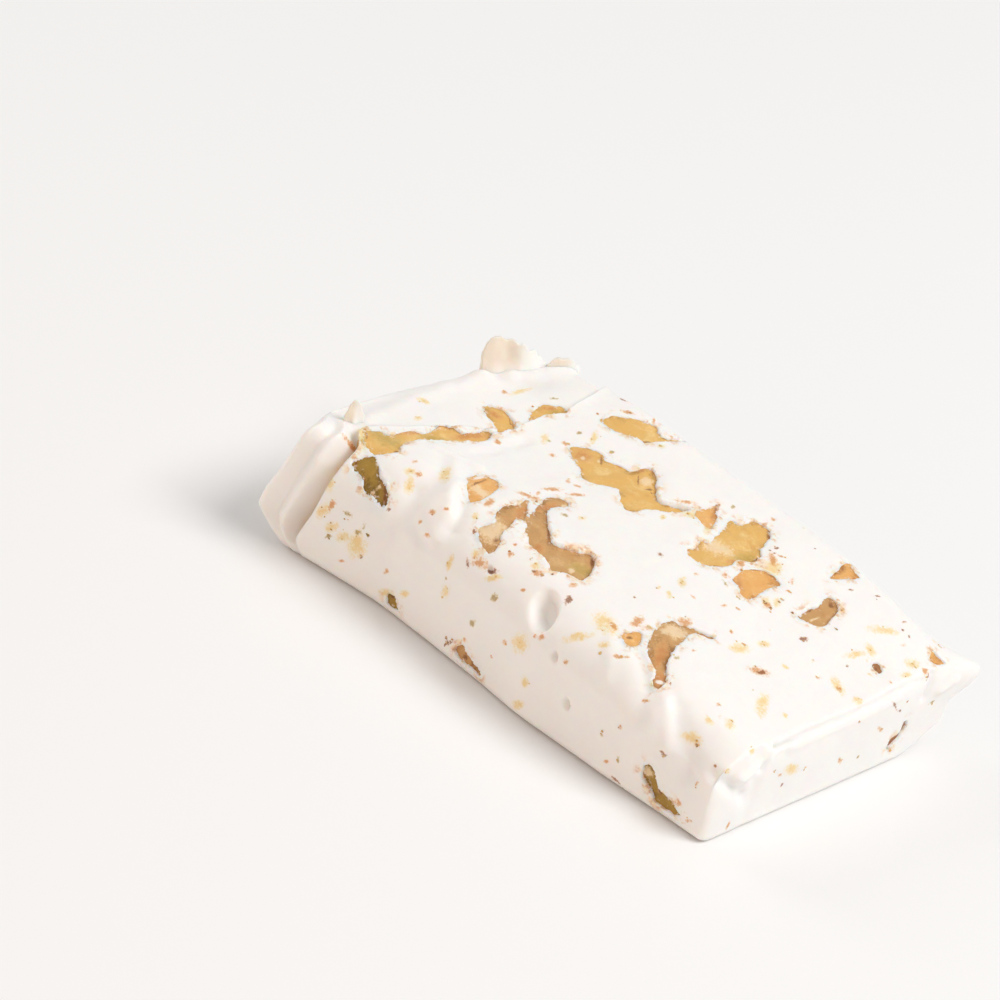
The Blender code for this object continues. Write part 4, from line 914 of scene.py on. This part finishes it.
def make_walnut(number, side, recess, outline, tree, material):
    """One piece of walnut, its broken faces just below the nougat's torn edge."""
    away, first, second = axes_of(side)
    torn = torn_ring(outline, number)
    ring = smooth_ring(outline, WALNUT_STEP)
    ring = ring + outward(ring) * WALNUT_UNDER
    low, high = ring.min(axis=0), ring.max(axis=0)
    u, v = np.meshgrid(evenly(low[0], high[0], WALNUT_STEP), evenly(low[1], high[1], WALNUT_STEP))
    u = u + WALNUT_STEP / 2 * (np.arange(len(u)) % 2)[:, None]
    grid = np.stack([u.ravel(), v.ravel()], axis=1)
    grid = grid[distance_inside(grid, ring)[0] > 0.5 * WALNUT_STEP]
    flat = np.concatenate([ring, grid])
    count = len(ring)
    border = list(range(count))
    top = delaunay_2d_cdt([Vector(p) for p in flat], [], [border], 1, 1e-6)[2]
    base = delaunay_2d_cdt([Vector(p) for p in ring], [], [border], 1, 1e-6)[2]

    places, heights, slopes, tones = facets_of(ring, number)
    bend = 0.5 * np.stack([edge_noise(np.column_stack([flat, np.full(len(flat), level)]), 1.6)
                           for level in (number, number + 50.0)], axis=1)
    apart = (flat + bend)[:, None, :] - places[None, :, :]
    away_from = np.sum(apart ** 2, axis=2)
    share = np.exp((away_from.min(axis=1, keepdims=True) - away_from) * FACET_CRISPNESS)
    share /= share.sum(axis=1, keepdims=True)
    facet_level = np.sum(share * (heights + np.sum(apart * slopes, axis=2).clip(-0.25, 0.25)),
                         axis=1)
    tone = np.sum(share * tones, axis=1)
    inside, _ = distance_inside(flat, torn)
    space = np.column_stack([flat, np.full(len(flat), 3.1 * number)])
    tone -= 0.16 * ramp(1.6, 0.1, inside) * (0.8 + soft_noise(space, 3.0))
    relief = facet_level + 0.12 * soft_noise(space, 2.2, 2) + 0.05 * fine_noise(space, 0.8, 2)
    middle = flat.mean(axis=0)
    tilt = 0.05 * (flat[:, 0] - middle[0]) if side == "top" else 0.0
    depth = np.clip(recess + tilt - relief, 0.18, 1.9)
    level = ground_under(tree, side, flat) - depth

    points = first * flat[:, :1] + second * flat[:, 1:] + away * level[:, None]
    under = points[:count] - away * WALNUT_THICK
    faces = [tuple(f) for f in top]
    faces += [tuple(len(points) + i for i in reversed(f)) for f in base]
    for i in border:
        j = (i + 1) % count
        faces.append((j, i, len(points) + i))
        faces.append((j, len(points) + i, len(points) + j))
    faces = np.array(faces)
    all_points = np.concatenate([points, under])
    a, b, c = (all_points[faces[0, k]] for k in range(3))
    if np.dot(np.cross(b - a, c - a), away) < 0:
        faces = faces[:, ::-1]
    facing = np.tile(away, (len(all_points), 1))
    fields = mark_fields(all_points, facing, listed(PATCHES), PATCH_LOOKS)
    fields["tone"] = np.concatenate([tone, np.full(count, 0.3)])
    fields["rim"] = np.concatenate([inside, np.full(count, 0.0)])
    name = f"walnut_piece_{number:02d}"
    piece = new_mesh(name, all_points, faces, fields)
    piece.data.materials.append(material)
    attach(piece, "root")
    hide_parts(f"walnut_{number:02d}")


def make_crumbs(finish, spots, tree, material):
    """All crumbs of one finish: small angular lumps half sunk in the nougat."""
    cube, faces = box_grid([np.array((-1.0, 0.0, 1.0))] * 3)
    lump = cube / np.linalg.norm(cube, axis=1, keepdims=True)
    points = []
    for number, (side, spot, size) in enumerate(spots):
        away, first, second = axes_of(side)
        level = ground_under(tree, side, [spot])[0] - 0.25 * size
        uneven = 1.0 + 0.45 * edge_noise(lump + 9.0 * number, 1.1)
        shape = lump * uneven[:, None] * (size, size * 0.7, size * 0.55)
        points.append(first * (spot[0] + shape[:, :1]) + second * (spot[1] + shape[:, 1:2])
                      + away * (level + shape[:, 2:]))
    faces = np.concatenate([faces + len(lump) * k for k in range(len(points))])
    points = np.concatenate(points)
    tone = 0.45 + 0.4 * edge_noise(points, 1.0)
    thing = new_mesh(f"walnut_crumbs_{finish}", points, faces,
                     {"tone": tone, "rim": np.full(len(points), 9.0)})
    thing.data.materials.append(material)
    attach(thing, "root")


class Nodes:
    """A material's node tree, with short ways to add and join its nodes."""

    def __init__(self, name):
        self.material = bpy.data.materials.new(name)
        self.material.use_nodes = True
        self.tree = self.material.node_tree
        self.shader = self.tree.nodes["Principled BSDF"]
        self.place = self.tree.nodes.new("ShaderNodeTexCoord").outputs["Object"]

    def set(self, **values):
        for name, value in values.items():
            self.shader.inputs[name.replace("_", " ")].default_value = value

    def join(self, source, target):
        self.tree.links.new(source, target)

    def put(self, socket, value):
        if isinstance(value, bpy.types.NodeSocket):
            self.join(value, socket)
        else:
            socket.default_value = value

    def noise(self, size, detail=2.0, roughness=0.5):
        """Noise with features of that many millimetres."""
        node = self.tree.nodes.new("ShaderNodeTexNoise")
        node.inputs["Scale"].default_value = 1.0 / (size * MM)
        node.inputs["Detail"].default_value = detail
        node.inputs["Roughness"].default_value = roughness
        self.join(self.place, node.inputs["Vector"])
        return node.outputs["Fac"]

    def field(self, name):
        node = self.tree.nodes.new("ShaderNodeAttribute")
        node.attribute_name = name
        return node.outputs["Fac"]

    def math(self, operation, first, second=0.0, third=0.0):
        node = self.tree.nodes.new("ShaderNodeMath")
        node.operation = operation
        for socket, value in zip(node.inputs, (first, second, third)):
            self.put(socket, value)
        return node.outputs[0]

    def fit(self, value, low, high, to_low=0.0, to_high=1.0):
        node = self.tree.nodes.new("ShaderNodeMapRange")
        node.interpolation_type = "SMOOTHSTEP"
        for name, entry in (("Value", value), ("From Min", low), ("From Max", high),
                            ("To Min", to_low), ("To Max", to_high)):
            self.put(node.inputs[name], entry)
        return node.outputs[0]

    def mix(self, share, first, second):
        node = self.tree.nodes.new("ShaderNodeMix")
        node.data_type = "RGBA"
        self.put(node.inputs["Factor"], share)
        for name, colour in (("A", first), ("B", second)):
            socket = [s for s in node.inputs if s.name == name and s.type == "RGBA"][0]
            self.put(socket, (*colour, 1.0) if isinstance(colour, tuple) else colour)
        return [s for s in node.outputs if s.type == "RGBA"][0]

    def bump(self, height, distance, strength=1.0):
        node = self.tree.nodes.new("ShaderNodeBump")
        node.inputs["Strength"].default_value = strength
        node.inputs["Distance"].default_value = distance * MM
        self.join(height, node.inputs["Height"])
        self.join(node.outputs[0], self.shader.inputs["Normal"])


def paint_marks(nodes, colour, looks, sizes, spread):
    """Lay each kind of mark over the colour, broken up by noise as stains and crumbs are."""
    ragged = 0.0
    for size in sizes:
        grain = nodes.math("SUBTRACT", nodes.noise(size, 4.0, 0.65), 0.5)
        ragged = nodes.math("MULTIPLY_ADD", grain, spread, ragged)
    for kind, (pale, deep, reach, low, high) in looks.items():
        field = nodes.field(kind)
        strength = nodes.math("ADD", ragged, field)
        paint = nodes.mix(nodes.fit(strength, low, 1.15 * high), pale, deep)
        share = nodes.math("MULTIPLY", nodes.fit(strength, low, high), reach)
        present = nodes.fit(field, 0.08, 0.45)
        colour = nodes.mix(nodes.math("MULTIPLY", share, present), colour, paint)
    return colour


def nougat_material():
    nodes = Nodes("nougat")
    nodes.set(Subsurface_Weight=0.6, Subsurface_Radius=(1.0, 0.60, 0.40),
              Subsurface_Scale=0.0013, Specular_IOR_Level=0.4)
    colour = nodes.mix(nodes.fit(nodes.noise(9.0), 0.35, 0.65), NOUGAT_COLOUR,
                       tuple(0.985 * v for v in NOUGAT_COLOUR))
    # Painted shade: the groove beside the seam and the folds' halves turned from the light are
    # tinted darker and warmer.
    colour = nodes.mix(nodes.field("groove"), colour, PAINTED_SHADE_COLOUR)
    colour = paint_marks(nodes, colour, MARK_LOOKS, (1.1, 0.4), 1.5)
    # Oil from the nuts has stained the torn edges.
    halo = nodes.fit(nodes.field("rim"), 1.7, 0.0)
    patchy = nodes.fit(nodes.noise(1.9, 4.0, 0.65), 0.49, 0.62)
    paint = nodes.mix(nodes.fit(nodes.noise(0.6, 3.0), 0.45, 0.62), *MARK_LOOKS["orange"][:2])
    colour = nodes.mix(nodes.math("MULTIPLY", nodes.math("MULTIPLY", halo, patchy), 0.75),
                       colour, paint)
    nodes.join(colour, nodes.shader.inputs["Base Color"])
    nodes.join(nodes.fit(nodes.noise(1.2, 2.0), 0.3, 0.7, 0.38, 0.52),
               nodes.shader.inputs["Roughness"])
    nodes.bump(nodes.noise(0.9, 4.0, 0.55), 0.04, 0.6)
    return nodes.material


def walnut_material(finish):
    dark, middle, light = WALNUT_TONES[finish]
    nodes = Nodes("walnut_" + finish)
    nodes.set(Subsurface_Weight=0.3, Subsurface_Radius=(1.0, 0.55, 0.25),
              Subsurface_Scale=0.0007, Specular_IOR_Level=0.35)
    tone = nodes.field("tone")
    for size, reach in ((4.5, 0.50), (1.2, 0.28), (0.3, 0.30)):
        mottle = nodes.math("SUBTRACT", nodes.noise(size, 3.0, 0.6), 0.5)
        tone = nodes.math("MULTIPLY_ADD", mottle, reach, tone)
    low = nodes.mix(nodes.fit(tone, 0.05, 0.40), dark, middle)
    colour = nodes.mix(nodes.fit(tone, 0.45, 0.85), low, light)
    colour = paint_marks(nodes, colour, PATCH_LOOKS, (0.8, 0.3), 1.0)
    # Brown skin along parts of the rim, and crumbs of nougat stuck to it.
    near = nodes.fit(nodes.field("rim"), 0.7, 0.0)
    skin = nodes.math("MULTIPLY", near, nodes.fit(nodes.noise(1.8, 3.0), 0.55, 0.66))
    colour = nodes.mix(nodes.math("MULTIPLY", skin, 0.7), colour, PATCH_LOOKS["skin"][0])
    wide = nodes.fit(nodes.field("rim"), 1.0, 0.1)
    film = nodes.math("MULTIPLY", wide, nodes.fit(nodes.noise(0.7, 3.0, 0.7), 0.57, 0.63))
    colour = nodes.mix(nodes.math("MULTIPLY", film, 0.7), colour, PATCH_LOOKS["film"][0])
    nodes.join(colour, nodes.shader.inputs["Base Color"])
    nodes.join(nodes.fit(nodes.noise(0.8, 2.0), 0.3, 0.7, 0.36, 0.55),
               nodes.shader.inputs["Roughness"])
    nodes.bump(nodes.noise(0.5, 4.0, 0.6), 0.06, 0.8)
    return nodes.material


def make_stage():
    floor_mesh = bpy.data.meshes.new("floor")
    corners = [(x * FLOOR_SIZE, y * FLOOR_SIZE, 0) for x, y in ((-1, -1), (1, -1), (1, 1), (-1, 1))]
    floor_mesh.from_pydata(corners, [], [(0, 1, 2, 3)])
    floor = bpy.data.objects.new("floor", floor_mesh)
    bpy.context.scene.collection.objects.link(floor)
    nodes = Nodes("floor")
    nodes.set(Base_Color=FLOOR_COLOUR, Roughness=0.35, Specular_IOR_Level=0.35)
    floor.data.materials.append(nodes.material)

    world = bpy.data.worlds.new("studio")
    world.use_nodes = True
    sky = world.node_tree.nodes["Background"]
    sky.inputs["Color"].default_value = SKY_COLOUR
    sky.inputs["Strength"].default_value = SKY_STRENGTH
    bpy.context.scene.world = world


def make_light(name, place, size, power, colour):
    """A soft square lamp that faces the bar."""
    lamp = bpy.data.lights.new(name, "AREA")
    lamp.shape = "SQUARE"
    lamp.size = size
    lamp.energy = power
    lamp.color = colour
    thing = bpy.data.objects.new(name, lamp)
    thing.location = place
    thing.rotation_euler = (-Vector(place)).to_track_quat("-Z", "Y").to_euler()
    bpy.context.scene.collection.objects.link(thing)


def make_camera():
    lens = bpy.data.cameras.new("camera")
    lens.sensor_width = SENSOR
    lens.lens = SENSOR / 2 / math.tan(math.radians(FIELD_OF_VIEW / 2))
    camera = bpy.data.objects.new("camera", lens)
    camera.location = CAMERA_PLACE
    camera.rotation_euler = Euler([math.radians(v) for v in CAMERA_TURN])
    bpy.context.scene.collection.objects.link(camera)
    bpy.context.scene.camera = camera


make_camera()
make_stage()
for lamp in LAMPS:
    make_light(*lamp)
bpy.context.scene.view_settings.view_transform = "Standard"

white = nougat_material()
nougat = make_nougat()
nougat.data.materials.append(white)
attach(nougat, "root")
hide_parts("nougat")
for number, (thickness, stations) in enumerate(FOLDS, start=1):
    fold = make_fold(f"nougat_fold_{number}", stations, thickness)
    fold.data.materials.append(white)
    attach(fold, "root")

coarse_points, coarse_faces, _, _ = bar_grid(COARSE_STEP)
surface = BVHTree.FromPolygons([Vector(p) for p in coarse_points], coarse_faces.tolist())
finishes = {name: walnut_material(name) for name in WALNUT_TONES}
for number, (side, finish, recess, outline) in enumerate(WALNUTS, start=1):
    make_walnut(number, side, recess, outline, surface, finishes[finish])

for finish, spots in scattered_crumbs(CRUMB_SEED).items():
    make_crumbs(finish, spots, surface, finishes[finish])

bpy.context.view_layer.update()
